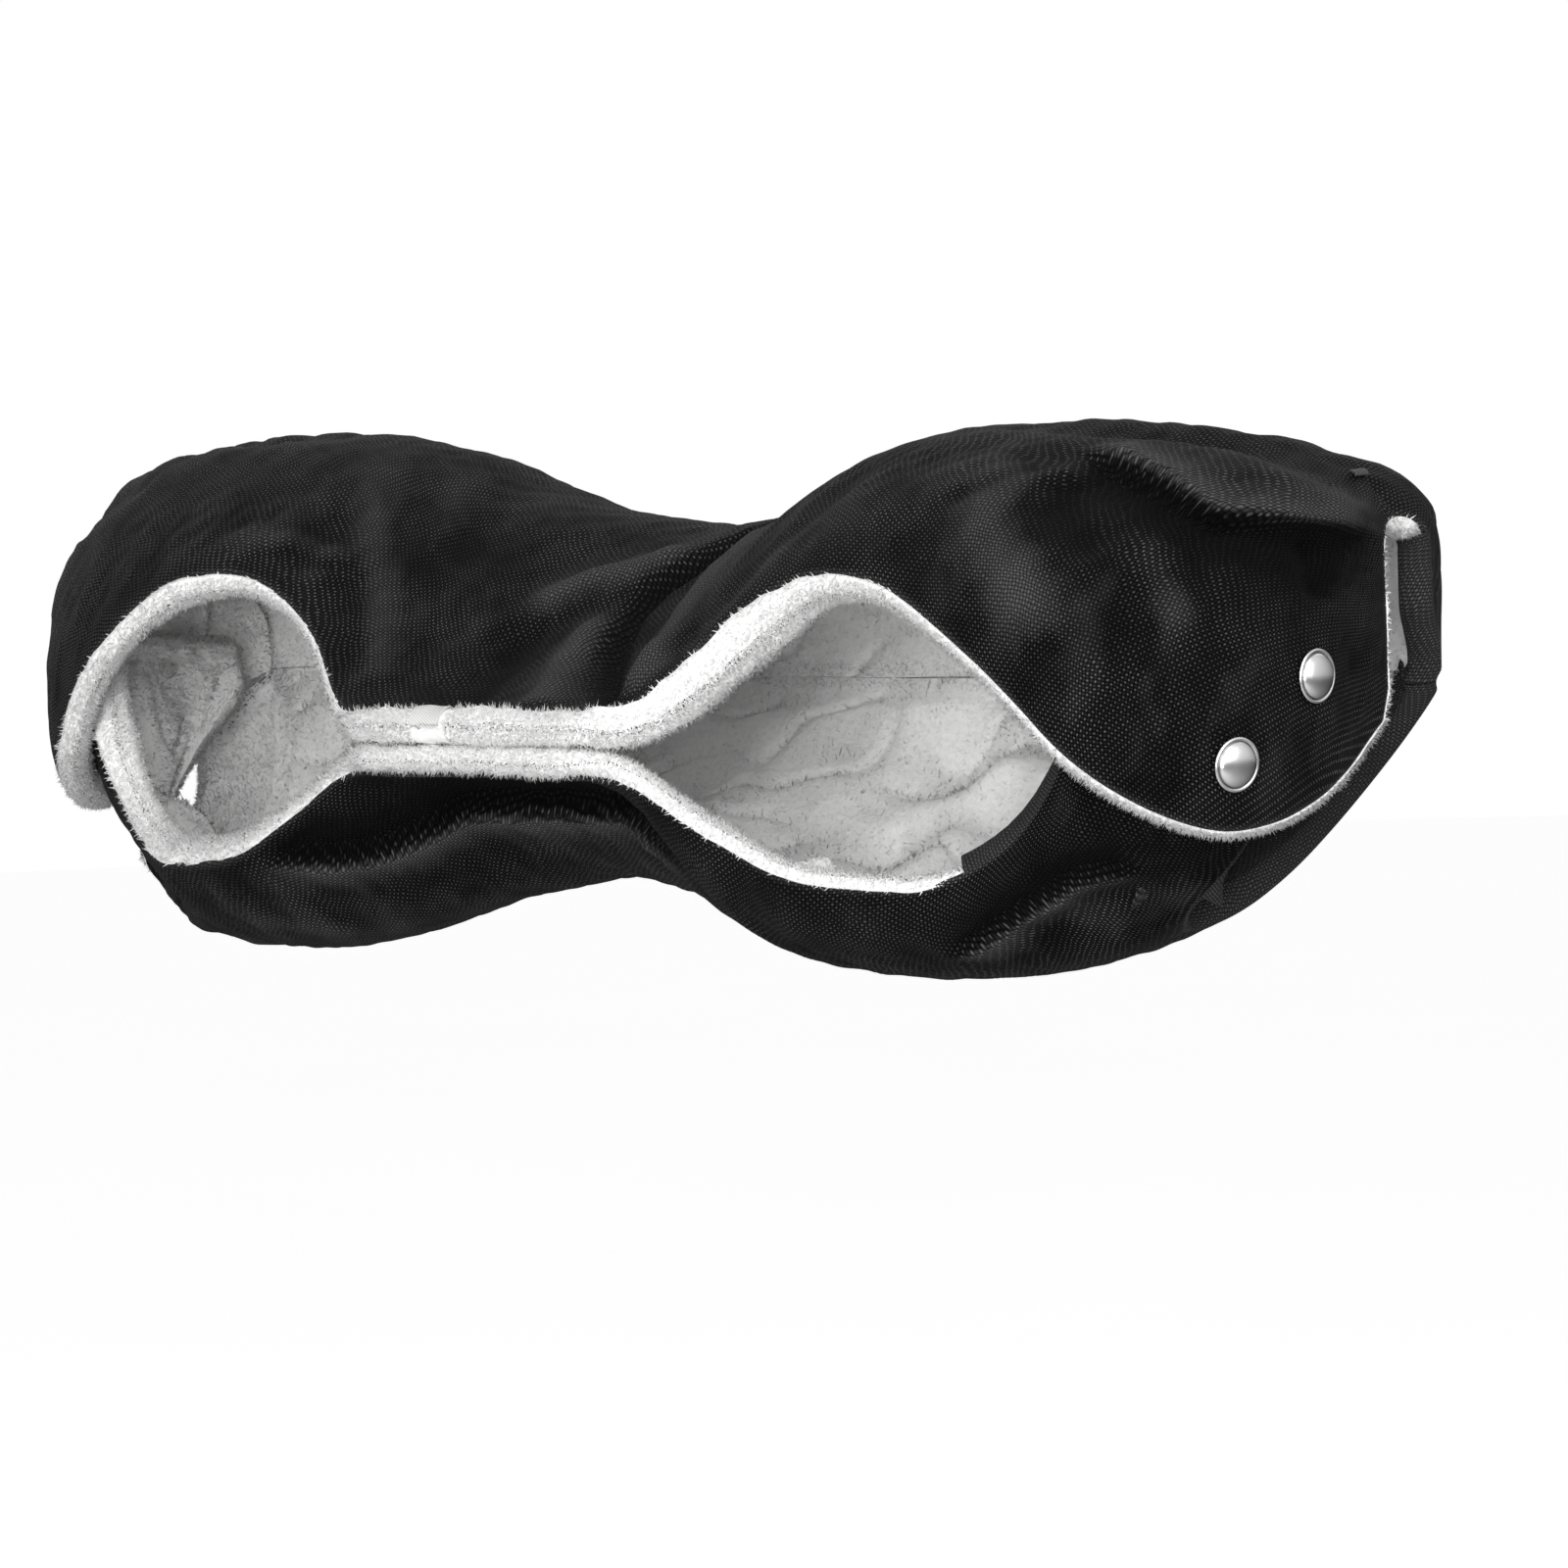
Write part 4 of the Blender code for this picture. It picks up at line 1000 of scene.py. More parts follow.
@dataclass(frozen=True)
class Plush:
    """White fleece or wadding: soft matt pile in small clumps.

    Attributes:
        clump: The size of the pile's clumps.
        low: The colour between the clumps, darker there as painted shade.
        high: The colour of their tips.
        relief: How deep the pile looks.
        fibre: The size of the pile's fibres.
        patch: The size of its slightly darker patches.
    """

    clump: float = 1.7 * MM
    low: tuple = (0.86, 0.86, 0.855)
    high: tuple = (0.97, 0.97, 0.965)
    relief: float = 0.9 * MM
    fibre: float = 0.45 * MM
    patch: float = 24 * MM

    def material(self, name: str) -> bpy.types.Material:
        """Builds the material.

        Args:
            name: Its name.

        Returns:
            The material.
        """
        nodes = Nodes(name)
        place = nodes.add("ShaderNodeTexCoord", "Object")
        clumps = nodes.noise(place, self.clump, 3.0)
        fibres = nodes.noise(place, self.fibre, 2.0)
        pile = nodes.math("ADD", nodes.math("MULTIPLY", clumps, 0.75),
                          nodes.math("MULTIPLY", fibres, 0.25))
        # Painted shade: the pile is darker where it lies low between the clumps.
        clump_shade = nodes.ramp(pile, ((0.34, self.low), (0.58, self.high)))
        shade = nodes.ramp(nodes.noise(place, self.patch, 2.0), ((0.35, 0.95), (0.65, 1.0)))
        return nodes.finish({
            "Base Color": nodes.mix(1.0, clump_shade, shade, "MULTIPLY"),
            "Roughness": nodes.math("MULTIPLY_ADD", pile, -0.1, 0.98),
            "Specular IOR Level": 0.15, "Sheen Weight": 0.35, "Sheen Roughness": 0.6,
            "Normal": nodes.bump(pile, self.relief, 0.55)})


@dataclass(frozen=True)
class PolishedSteel:
    """Polished press-snap steel with faint turning marks and fine scratches.

    Attributes:
        colour: Its reflection colour.
        roughness: Its least roughness.
        edge: The dark colour of a painted reflection where it turns away from the view.
        mark: The size and depth of the turning marks.
        haze: The size of its duller patches.
    """

    colour: tuple = (0.80, 0.80, 0.80)
    roughness: float = 0.20
    edge: tuple = (0.05, 0.05, 0.05, 1)
    mark: tuple = (1.2 * MM, 0.01 * MM)
    haze: float = 5 * MM

    def material(self, name: str) -> bpy.types.Material:
        """Builds the material.

        Args:
            name: Its name.

        Returns:
            The material.
        """
        nodes = Nodes(name)
        place = nodes.add("ShaderNodeTexCoord", "Object")
        marks = nodes.noise(place, self.mark[0], 4.0)
        haze = nodes.noise(place, self.haze, 2.0)
        dull = tuple(0.9 * part for part in self.colour)
        polish = nodes.ramp(haze, ((0.3, dull), (0.7, self.colour)))
        # Painted reflection: the colour darkens towards the rim, where the cap turns away from the
        # view.
        facing = nodes.add("ShaderNodeLayerWeight", "Facing", inputs={"Blend": 0.42})
        painted_rim_reflection = nodes.ramp(facing, ((0.10, 0.0), (0.62, 1.0)))
        return nodes.finish({
            "Base Color": nodes.mix(painted_rim_reflection, polish, self.edge), "Metallic": 1.0,
            "Roughness": nodes.math("MULTIPLY_ADD", haze, 0.12, self.roughness),
            "Normal": nodes.bump(marks, self.mark[1], 0.25)})


@dataclass(frozen=True)
class Thread:
    """Twisted sewing thread, or a woven tape or label made of it.

    Attributes:
        dark: The colour between the strands.
        light: The colour of the strands.
        pitch: The distance from strand to strand.
        relief: How deep the strands look.
    """

    dark: tuple = (0.006, 0.006, 0.006)
    light: tuple = (0.035, 0.035, 0.037)
    pitch: float = 0.45 * MM
    relief: float = 0.12 * MM

    def material(self, name: str) -> bpy.types.Material:
        """Builds the material.

        Args:
            name: Its name.

        Returns:
            The material.
        """
        nodes = Nodes(name)
        place = nodes.add("ShaderNodeTexCoord", "Object")
        twill = nodes.add("ShaderNodeTexWave", "Fac", inputs={
            "Vector": place, "Scale": 1 / (self.pitch * 6.4), "Distortion": 1.2,
            "Detail": 2.0, "Detail Scale": 1.5}, wave_type="BANDS", bands_direction="DIAGONAL")
        return nodes.finish({
            "Base Color": nodes.ramp(twill, ((0.2, self.dark), (0.8, self.light))),
            "Roughness": nodes.math("MULTIPLY_ADD", twill, -0.2, 0.8), "Sheen Weight": 0.2,
            "Normal": nodes.bump(twill, self.relief, 0.6)})


@dataclass(frozen=True)
class Finishes:
    """Every finish of the muff, as materials."""

    cloth: bpy.types.Material = field(
        default_factory=lambda: WovenCloth().material("black_woven_cloth"))
    fleece: bpy.types.Material = field(default_factory=lambda: Plush().material("white_fleece"))
    wadding: bpy.types.Material = field(default_factory=lambda: Plush(
        clump=4 * MM, low=(0.72, 0.72, 0.70), high=(0.86, 0.86, 0.84)).material("white_wadding"))
    steel: bpy.types.Material = field(
        default_factory=lambda: PolishedSteel().material("polished_steel"))
    thread: bpy.types.Material = field(default_factory=lambda: Thread().material("black_thread"))
    tape: bpy.types.Material = field(default_factory=lambda: Thread(
        dark=(0.55, 0.55, 0.54), light=(0.84, 0.84, 0.83), pitch=0.8 * MM).material("white_tape"))
    label: bpy.types.Material = field(default_factory=lambda: Thread(
        dark=(0.56, 0.56, 0.55), light=(0.76, 0.76, 0.75),
        pitch=0.3 * MM).material("white_woven_label"))


class MeshKit:
    """Turns arrays into Blender objects."""

    @staticmethod
    def link(name: str, points: np.ndarray, faces: list, material: bpy.types.Material,
             uv: np.ndarray | None = None, wear_and_fold_shading: np.ndarray | None = None,
             normals: np.ndarray | None = None) -> bpy.types.Object:
        """Makes an object from points and faces.

        Args:
            name: Its name.
            points: Its points.
            faces: Arrays of faces, each with as many columns as its faces have corners.
            material: Its material.
            uv: The cloth's own flat coordinates at each point.
            wear_and_fold_shading: Per point, lightening from hem wearing and painted crest
                highlight; below zero, painted groove shade.
            normals: A normal for each corner of each face, in the faces' order.

        Returns:
            The object.
        """
        mesh = bpy.data.meshes.new(name)
        sizes = np.concatenate([np.full(len(part), part.shape[1]) for part in faces])
        corners = np.concatenate([part.ravel() for part in faces]).astype(np.int32)
        starts = np.pad(np.cumsum(sizes), (1, 0))[:-1].astype(np.int32)
        mesh.vertices.add(len(points))
        mesh.vertices.foreach_set("co", np.ascontiguousarray(points, np.float32).ravel())
        mesh.loops.add(len(corners))
        mesh.loops.foreach_set("vertex_index", corners)
        mesh.polygons.add(len(sizes))
        mesh.polygons.foreach_set("loop_start", starts)
        mesh.update(calc_edges=True)
        mesh.polygons.foreach_set("use_smooth", np.ones(len(sizes), bool))
        if uv is not None:
            layer = mesh.uv_layers.new(name="weave")
            layer.data.foreach_set("uv", uv[corners].astype(np.float32).ravel())
        if wear_and_fold_shading is not None:
            layer = mesh.attributes.new("wear_and_fold_shading", "FLOAT", "POINT")
            layer.data.foreach_set("value", wear_and_fold_shading.astype(np.float32))
        mesh.validate()
        if normals is not None:
            mesh.normals_split_custom_set(normals.tolist())
        mesh.materials.append(material)
        made = bpy.data.objects.new(name, mesh)
        bpy.context.scene.collection.objects.link(made)
        return made


class Slab:
    """A closed slab between two grids of points, with tufts where it is fleece."""

    def __init__(self, outer: np.ndarray, inner: np.ndarray, mask: np.ndarray,
                 side: int) -> None:
        """Keeps the grids.

        Args:
            outer: The outer face's points, columns of rows.
            inner: The inner face's points.
            mask: Which cells of the grid it has.
            side: 1 where columns turned towards rows face outward, else -1.
        """
        self.outer = outer
        self.inner = inner
        self.mask = mask
        self.side = side
        self.facing = (self.grid_normals(outer) * side, self.grid_normals(inner) * -side)
        self.tufts = (np.zeros((0, 3)), np.zeros((0, 3)))

    @staticmethod
    def grid_normals(points: np.ndarray) -> np.ndarray:
        """Gives the unit normals of a grid of points."""
        return unit(np.cross(np.gradient(points, axis=0), np.gradient(points, axis=1)))

    def faces(self) -> tuple[np.ndarray, np.ndarray]:
        """Gives the slab's quads and a normal for each of their corners."""
        columns, rows = self.outer.shape[:2]
        size = columns * rows
        index = np.arange(size).reshape(columns, rows)
        column, row = np.where(self.mask)
        quad = np.stack([index[column, row], index[column + 1, row],
                         index[column + 1, row + 1], index[column, row + 1]], axis=1)
        wide = np.pad(self.mask, 1)
        walls = []
        for step, first, second in (((0, -1), (0, 0), (1, 0)), ((0, 1), (1, 1), (0, 1)),
                                    ((-1, 0), (0, 1), (0, 0)), ((1, 0), (1, 0), (1, 1))):
            bare = ~wide[column + 1 + step[0], row + 1 + step[1]]
            start = index[column[bare] + first[0], row[bare] + first[1]]
            end = index[column[bare] + second[0], row[bare] + second[1]]
            walls.append(np.stack([end, start, start + size, end + size], axis=1))
        wall = np.concatenate(walls)
        back = quad[:, ::-1] + size
        faces = np.concatenate([quad, back, wall])[:, ::self.side]
        points = np.concatenate([self.outer.reshape(-1, 3), self.inner.reshape(-1, 3)])
        smooth = np.concatenate([part.reshape(-1, 3) for part in self.facing])
        normals = smooth[faces]
        corner = points[faces[-len(wall):]]
        normals[-len(wall):] = unit(np.cross(corner[:, 1] - corner[:, 0],
                                             corner[:, 3] - corner[:, 0]))[:, None]
        return faces, normals

    def grow_tufts(self, weight: np.ndarray, rolled: np.ndarray, density: float,
                   seed: int) -> None:
        """Grows small closed tufts of pile on the slab.

        Args:
            weight: How thickly they stand at each place of the grid.
            rolled: Where the outer face is bare of cloth.
            density: Tufts for each square metre at weight 1.
            seed: Which random places.
        """
        source = np.random.default_rng(seed)
        places = []
        for face, facing in zip((self.outer, self.inner), self.facing):
            cells = self.mask if face is self.inner else self.mask & rolled[1:, 1:]
            column, row = np.where(cells)
            first = face[column + 1, row] - face[column, row]
            second = face[column, row + 1] - face[column, row]
            area = np.linalg.norm(np.cross(first, second), axis=1)
            wanted = area * weight[column, row] * density
            count = np.floor(wanted + source.random(len(wanted))).astype(int)
            column = np.repeat(column, count)
            row = np.repeat(row, count)
            first = np.repeat(first, count, axis=0) * source.random((len(column), 1))
            second = np.repeat(second, count, axis=0) * source.random((len(column), 1))
            places.append((face[column, row] + first + second, facing[column, row]))
        place = np.concatenate([item[0] for item in places])
        normal = np.concatenate([item[1] for item in places])
        stray = unit(source.normal(size=place.shape))
        stray = stray - normal * np.einsum("ij,ij->i", stray, normal)[:, None]
        length = source.uniform(*TUFT_LENGTHS, (len(place), 1))
        lean = unit(normal + TUFT_LEAN * stray)
        tip = place + lean * length
        aside = unit(np.cross(lean, stray))
        other = np.cross(lean, aside)
        base = place - normal * TUFT_SINK
        corners = [tip]
        for turn in (0, math.tau / 3, 2 * math.tau / 3):
            corners.append(base + TUFT_RADIUS * (aside * math.cos(turn) + other * math.sin(turn)))
        shading = unit(normal + TUFT_SHADE * stray)
        self.tufts = (np.stack(corners, axis=1).reshape(-1, 3), np.repeat(shading, 4, axis=0))

    def link(self, name: str, material: bpy.types.Material, uv: np.ndarray | None = None,
             wear_and_fold_shading: np.ndarray | None = None) -> bpy.types.Object:
        """Makes the object.

        Args:
            name: Its name.
            material: Its material.
            uv: The cloth's own flat coordinates on the grid.
            wear_and_fold_shading: Per place, lightening from hem wearing and painted crest
                highlight; below zero, painted groove shade.

        Returns:
            The object.
        """
        faces, normals = self.faces()
        used, packed = np.unique(faces, return_inverse=True)
        grid_points = np.concatenate([self.outer.reshape(-1, 3), self.inner.reshape(-1, 3)])
        tuft_points, tuft_normals = self.tufts
        points = np.concatenate([grid_points[used], tuft_points])
        parts = [packed.reshape(faces.shape)]
        corner_normals = [normals.reshape(-1, 3)]
        if len(tuft_points):
            start = np.arange(0, len(tuft_points), 4)[:, None, None]
            corners = start + np.array(TUFT_FACES)[None]
            corners = corners.reshape(-1, 3)
            corner_normals.append(tuft_normals[corners].reshape(-1, 3))
            parts.append(corners + len(used))

        def both(values: np.ndarray | None) -> np.ndarray | None:
            """Repeats a grid's values on both faces and keeps the used places'."""
            if values is None:
                return None
            flat = values.reshape(len(grid_points) // 2, -1)
            return np.concatenate([flat, flat])[used]

        return MeshKit.link(name, points, parts, material, both(uv),
                            None if wear_and_fold_shading is None else both(wear_and_fold_shading)[:, 0],
                            np.concatenate(corner_normals))


class Part(Enum):
    """Which part of a panel a piece takes."""

    WHOLE = "all of it"
    BODY = "what stays when the flaps open"
    RIGHT_FLAP = "the right flap and the cloth beside its fold"
    LEFT_FLAP = "the left flap and the cloth beside its fold"


@dataclass
class FlapHinge:
    """The fold that a corner flap opens about, and the band of cloth that bends there.

    Attributes:
        mirror: 1 for the right flap, -1 for the left one.
        band: How wide the bending band is.
        lead: How far the band starts before the fold.
    """

    mirror: int
    band: float = 20 * MM
    lead: float = 3 * MM

    def ends(self) -> tuple[Vector, Vector]:
        """Gives the two points between which the cloth bends.

        Returns:
            Where the cloth still stays, and where it follows the flap.
        """
        start, _ = UPPER.spot(FLAP_START_STATION_SHARE, float(UPPER.lip(
            np.array([FLAP_START_STATION_SHARE]))[0]))
        end, _ = UPPER.spot(1.0, RIDGE_ANGLE)
        axis = (end - start).normalized()
        _, outward = UPPER.spot((FLAP_START_STATION_SHARE + 1) / 2, RIDGE_ANGLE / 2)
        outward = (outward - axis * outward.dot(axis)).normalized()
        aside = axis.cross(outward)
        if aside.z > 0:
            aside = -aside
        stay = end - aside * self.lead
        follow = end + aside * self.band
        stay.x *= self.mirror
        follow.x *= self.mirror
        return stay, follow

    def dress(self, piece: bpy.types.Object) -> None:
        """Bakes a piece's placement into its points; the bend's two ends are worked out but not
        used.
        """
        self.ends()
        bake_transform(piece)


HINGES = {Part.RIGHT_FLAP: FlapHinge(1), Part.LEFT_FLAP: FlapHinge(-1)}


@dataclass
class SoftPanel:
    """One panel's outer cloth, wadding and fleece lining.

    Attributes:
        rule: The panel's outer face.
        name: "upper" or "lower".
        folds: Its cloth's folds.
        finishes: The materials.
        roll_rows: Rows of signed station and half the fleece roll's height in millimetres.
        end_rows: Rows of angle and half the height of the ends' roll in millimetres.
        lining_folds: Its lining's folds, raised on the inner face.
        split_station: Where a flap's piece starts along the panel.
        bound_stations: Between which stations the lower edge changes from rolled to bound.
        hem_depth: How far the cloth turns in at a rolled edge.
        hem_width: Over what width it does.
        rumple: Size of the cloth's small unevenness.
        fold_shading_lift: How high a fold stands whose crest gets the full painted highlight, and
            how deep one lies whose groove gets the full painted shade.
        follow: How far the wadding follows a fold of the cloth.
        wadding_inset: How far the wadding ends from the lip.
        overhang_share: How far the roll stands out over the edge, in half heights.
        closed_stations: Between which stations the closed middle ends.
        tuft_density: Tufts for each square metre of a roll.
        seam_depth: How far the back seam draws the cloth in.
        seam_width: Over what width it does.
        end_roll_reach: How far from the end its roll goes over into the lip's.
        bound_angles: Between which angles the upper panel's right end changes to bound.
        bound_fade: Over how many insets from the edge that ends.
        bound_least: From which share of binding on the cloth wraps round the edge.
        bound_inset: How far the lining draws back from a bound edge.
        facing: How far the cloth of a bound edge lies back over the lining.
        facing_press: Between which distances from the edge it presses the lining, in facings.
        bound_bulge: How far a bound edge stands out.
        cuff: How much further the lining rolls out at the left end's rear.
        cuff_stations: Between which stations, counted to the left, it comes in.
        cuff_start: At which angle of the upper end it starts to.
        cuff_lead: How many degrees sooner it starts on the lower end.
        cuff_growth: Over how many degrees it grows to that.
        rumples: Rows of weight, stretch, size and seed of the cloth's unevenness.
        rumple_reach: How far inside the edge the unevenness is full.
        fold_reach: How far inside the edge the folds are full.
        hem_wear: How far the cloth's turned edge is lightened by wearing.
        closed_share: How much further the rolls of the closed middle stand out.
        roll_width_share: How wide the roll's front is, in half heights.
        settle_share: Where the roll has gone over into the lining, in widths of its front.
        uneven: Rows of weight, size and seed of the roll's unevenness.
        lid_follow: How far the lining's back gives way to a fold of the cloth.
        lining_follow: How far its inner face does.
        least: The lining's least thickness.
        swell: How far the lining swells inward, and the size and seed of that.
        crease: How deep, far apart and narrow its creases are, and their seed.
        soft_reach: Between which distances from the edge it starts to swell.
        lapped_stations: Between which stations a flap's lining lies on the lower panel.
        lapped_calm: How much less it swells there.
        strip_stations: Between which stations the closure strips end.
        strip_reach: Between which distances from the edge they end.
        tuft_reach: Between which distances from the edge tufts thin out, in half heights.
        tuft_least: How thickly they stand inside the muff.
        tuft_bound: How much thinner they are at a bound edge.
        tuft_tips: How many more stand at the roll's tip, and between which distances they end.
        tuft_seams: Between which distances from the back seam the thicker tufts end.
        tuft_splits: The same from the flaps' start, in stations.
    """

    rule: PanelRule
    name: str
    folds: tuple
    finishes: Finishes
    roll_rows: tuple
    end_rows: tuple
    lining_folds: tuple
    split_station: float = 0.60
    bound_stations: tuple = (0.62, 0.69)
    hem_depth: float = 0.7 * MM
    hem_width: float = 3.0 * MM
    rumple: float = 0.45 * MM
    fold_shading_lift: float = 3.5 * MM
    follow: float = 0.75
    wadding_inset: float = 13 * MM
    overhang_share: float = 0.62
    closed_stations: tuple = (0.17, 0.27)
    tuft_density: float = 0.95e6
    seam_depth: float = 1.4 * MM
    seam_width: float = 4.0 * MM
    end_roll_reach: tuple = (14 * MM, 34 * MM)
    bound_angles: tuple = (96.0, 116.0)
    bound_inset: float = 2.6 * MM
    bound_fade: float = 5
    bound_least: float = 0.5
    facing_press: tuple = (1.1, 2)
    facing: float = 13 * MM
    bound_bulge: float = 1.4 * MM
    cuff: float = 25 * MM
    cuff_stations: tuple = (0, 0.5)
    cuff_start: float = 92.0
    cuff_lead: float = 22.0
    cuff_growth: float = 34.0
    rumples: tuple = ((1.0, (1.0, 0.45), 27 * MM, 3), (0.4, (1.0, 0.7), 9 * MM, 4))
    rumple_reach: float = 14 * MM
    fold_reach: float = 9 * MM
    hem_wear: float = 0.5
    closed_share: float = 0.4
    roll_width_share: float = 1.15
    settle_share: float = 1.9
    uneven: tuple = ((0.06, 9 * MM, 11), (0.09, 34 * MM, 41))
    lid_follow: float = 1.2
    lining_follow: float = 0.4
    least: float = 0.8 * MM
    swell: tuple = (2.6 * MM, 44 * MM, 21)
    crease: tuple = (1.8 * MM, 34 * MM, 0.30, 31)
    soft_reach: tuple = (4 * MM, 16 * MM)
    lapped_stations: tuple = (0.60, 0.72)
    lapped_calm: float = 0.6
    strip_stations: tuple = (0.24, 0.34)
    strip_reach: tuple = (40 * MM, 50 * MM)
    tuft_reach: tuple = (3, 8)
    tuft_least: float = 0.16
    tuft_bound: float = 0.7
    tuft_tips: tuple = (2, 1 * MM, 2 * MM)
    tuft_seams: tuple = (2 * MM, 6 * MM)
    tuft_splits: tuple = (0.004, 0.020)

    def __post_init__(self) -> None:
        """Makes the curves of the rolls' half heights over stations and angles."""
        self.roll = table_curve(self.roll_rows)
        self.end_roll = table_curve(self.end_rows)

    def parts(self) -> tuple[Part, ...]:
        """Lists the parts that this panel's layers come in."""
        if self.rule.side > 0:
            return (Part.BODY, Part.RIGHT_FLAP, Part.LEFT_FLAP)
        return (Part.WHOLE,)

    def node_name(self, part: Part, layer: str) -> str:
        """Names the solid that a layer's part stands for."""
        if part is Part.RIGHT_FLAP:
            return "right_flap_" + layer
        if part is Part.LEFT_FLAP:
            return "left_flap_" + layer
        return self.name + "_" + layer

    def mask(self, grid: PanelGrid, part: Part) -> np.ndarray:
        """Picks the cells of a part.

        Args:
            grid: The grid.
            part: The part.

        Returns:
            True for each cell of the part.
        """
        middle = np.pad((grid.columns[1:] + grid.columns[:-1]) / 2, grid.added, mode="edge")
        rows = grid.station.shape[1] - 1 + grid.added
        flap_rows = np.arange(rows)[None] < grid.ridge_row + grid.added
        right = (middle > self.split_station)[:, None] & flap_rows
        left = (middle < -self.split_station)[:, None] & flap_rows
        if part is Part.RIGHT_FLAP:
            return right
        if part is Part.LEFT_FLAP:
            return left
        if part is Part.BODY:
            return ~(right | left)
        return np.ones_like(right)

    def attach(self, piece: bpy.types.Object, part: Part, layer: str) -> None:
        """Lets a piece ride on the muff, or for a flap only bakes its placement, and hides the
        solid it stands for.

        Args:
            piece: The object.
            part: Which part of the panel it is.
            layer: Which layer it is.
        """
        if part in HINGES:
            HINGES[part].dress(piece)
        else:
            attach(piece, "muff")
        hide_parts(self.node_name(part, layer))
        LOG.info("%s: %d points", piece.name, len(piece.data.vertices))

    def bound(self, station: np.ndarray, angle: np.ndarray) -> np.ndarray:
        """Gives where the edge is bound in black cloth and not rolled."""
        if self.rule.side > 0:
            return ramp(angle, *self.bound_angles) * ramp(station, 0, self.bound_stations[0])
        return ramp(station, *self.bound_stations)

    def turn_in(self, grid: PanelGrid) -> np.ndarray:
        """Gives how far the cloth's edge turns in towards its seam."""
        way = np.clip(grid.from_edge / self.hem_width, 0, 1)
        return self.hem_depth * (1 - self.bound(grid.station, grid.angle)) * (1 - way)**2

    def calm(self, grid: PanelGrid) -> np.ndarray:
        """Gives 0 where snaps and strips press the layers flat, and 1 away from them."""
        calm = np.ones(grid.station.shape)
        for station, angle in SNAP_PLACES.values():
            centre = np.array(self.rule.spot(station, angle)[0])
            mirrored = np.abs(grid.base) * (1, 0, 0) + grid.base * (0, 1, 1)
            away = np.linalg.norm(mirrored - centre, axis=2)
            calm *= ramp(away, SOCKET_RADIUS, CALM_SHARE * SOCKET_RADIUS)
        return calm

    def lift(self, grid: PanelGrid) -> np.ndarray:
        """Gives how far folds and rumples raise the outer cloth."""
        places = np.stack([grid.cloth_u, grid.cloth_v], axis=-1)
        rumple = sum(weight * self.rumple * waves(places * stretch, size, seed)
                     for weight, stretch, size, seed in self.rumples)
        rumple *= ramp(grid.from_edge, 0, self.rumple_reach)
        return (grid.fold * ramp(grid.from_edge, 0, self.fold_reach) + rumple) * self.calm(grid)

    def build_cloth(self) -> None:
        """Builds the outer cloth with its folds, turned edges and back seam, and its wadding."""
        grid = PanelGrid(self.rule, panel_columns(CLOTH_COLUMNS), panel_rows(*CLOTH_ROWS),
                         BINDING_SHARES, self.folds)
        lift = self.lift(grid)
        seam = self.seam_depth * (1 - ramp(grid.from_back, 0, self.seam_width))
        depth = self.turn_in(grid) + seam - lift
        shallow = CLOTH_THICKNESS + SEAT_GAP + np.maximum(seam - np.minimum(lift, 0), 0)
        deep = np.maximum(CLOTH_THICKNESS + SEAT_GAP + WADDING_THICKNESS
                          - self.follow * np.minimum(lift, 0), shallow + SEAT_GAP)
        base = grid.spread(grid.base)
        normal = grid.spread(grid.normal)
        faces = [base - normal * grid.spread(level)[..., None] for level in (
            depth, depth + CLOTH_THICKNESS - SEAT_GAP, shallow, deep)]
        places = grid.spread(np.stack([grid.cloth_u, grid.cloth_v], axis=-1))
        # Lighter hems from wearing, plus a painted highlight on fold crests and painted shade in
        # fold grooves, from the folds' lift.
        wear_and_fold_shading = grid.spread(self.hem_wear * (1 - ramp(grid.from_edge, 0, self.hem_width))
                           + lift / self.fold_shading_lift)
        padded_cells = grid.spread(grid.from_edge > self.wadding_inset)[:-1, :-1]
        wrapped = self.bind(grid, faces, places)
        for part in self.parts():
            mask = self.mask(grid, part)
            slab = Slab(faces[2], faces[3], mask & padded_cells & ~wrapped[1], self.rule.side)
            padding = slab.link(self.node_name(part, "padding"), self.finishes.wadding)
            self.attach(padding, part, "wadding")
            slab = Slab(faces[0], faces[1], mask & (wrapped[0] | ~wrapped[1]), self.rule.side)
            cloth = slab.link(self.node_name(part, "cloth"), self.finishes.cloth, places, wear_and_fold_shading)
            self.attach(cloth, part, "outer_cloth")

    def bind(self, grid: PanelGrid, faces: list,
             places: np.ndarray) -> tuple[np.ndarray, np.ndarray]:
        """Lays the cloth's added rows and columns round the bound edges.

        Args:
            grid: The cloth's grid.
            faces: The outer and inner face's points, which are changed in place.
            places: The cloth's own flat coordinates, changed in place.

        Returns:
            Which cells the binding has, and which cells lie in the added rows or columns.
        """
        count = grid.added
        edge = faces[0].copy()
        normal = grid.spread(grid.normal)
        away = grid.away()
        columns, rows = edge.shape[:2]
        share = np.zeros((columns, rows))
        share[columns - count:] = BINDING_SHARES[::-1, None]
        away[columns - count:] = np.pad(grid.right_out, ((count, 0), (0, 0)),
                                        mode="edge")[None]
        lip_share = np.zeros((columns, rows))
        lip_share[:, :count] = BINDING_SHARES[None]
        away[:columns - count, :count] = np.pad(
            grid.lip_out, ((count, 0), (0, 0)), mode="edge")[:, None]
        both = (share > 0) & (lip_share > 0)
        share = np.maximum(share, lip_share)
        half = (PANEL_THICKNESS + CLOTH_THICKNESS) / 2 + SEAT_GAP
        turn_length = math.pi * half
        length = share * (turn_length + self.facing)
        turn = np.clip(length / turn_length, 0, 1)[..., None] * math.pi
        back = np.maximum(length - turn_length, 0)[..., None]
        facing = normal * np.cos(turn) + away * np.sin(turn)
        centre = edge - normal * half
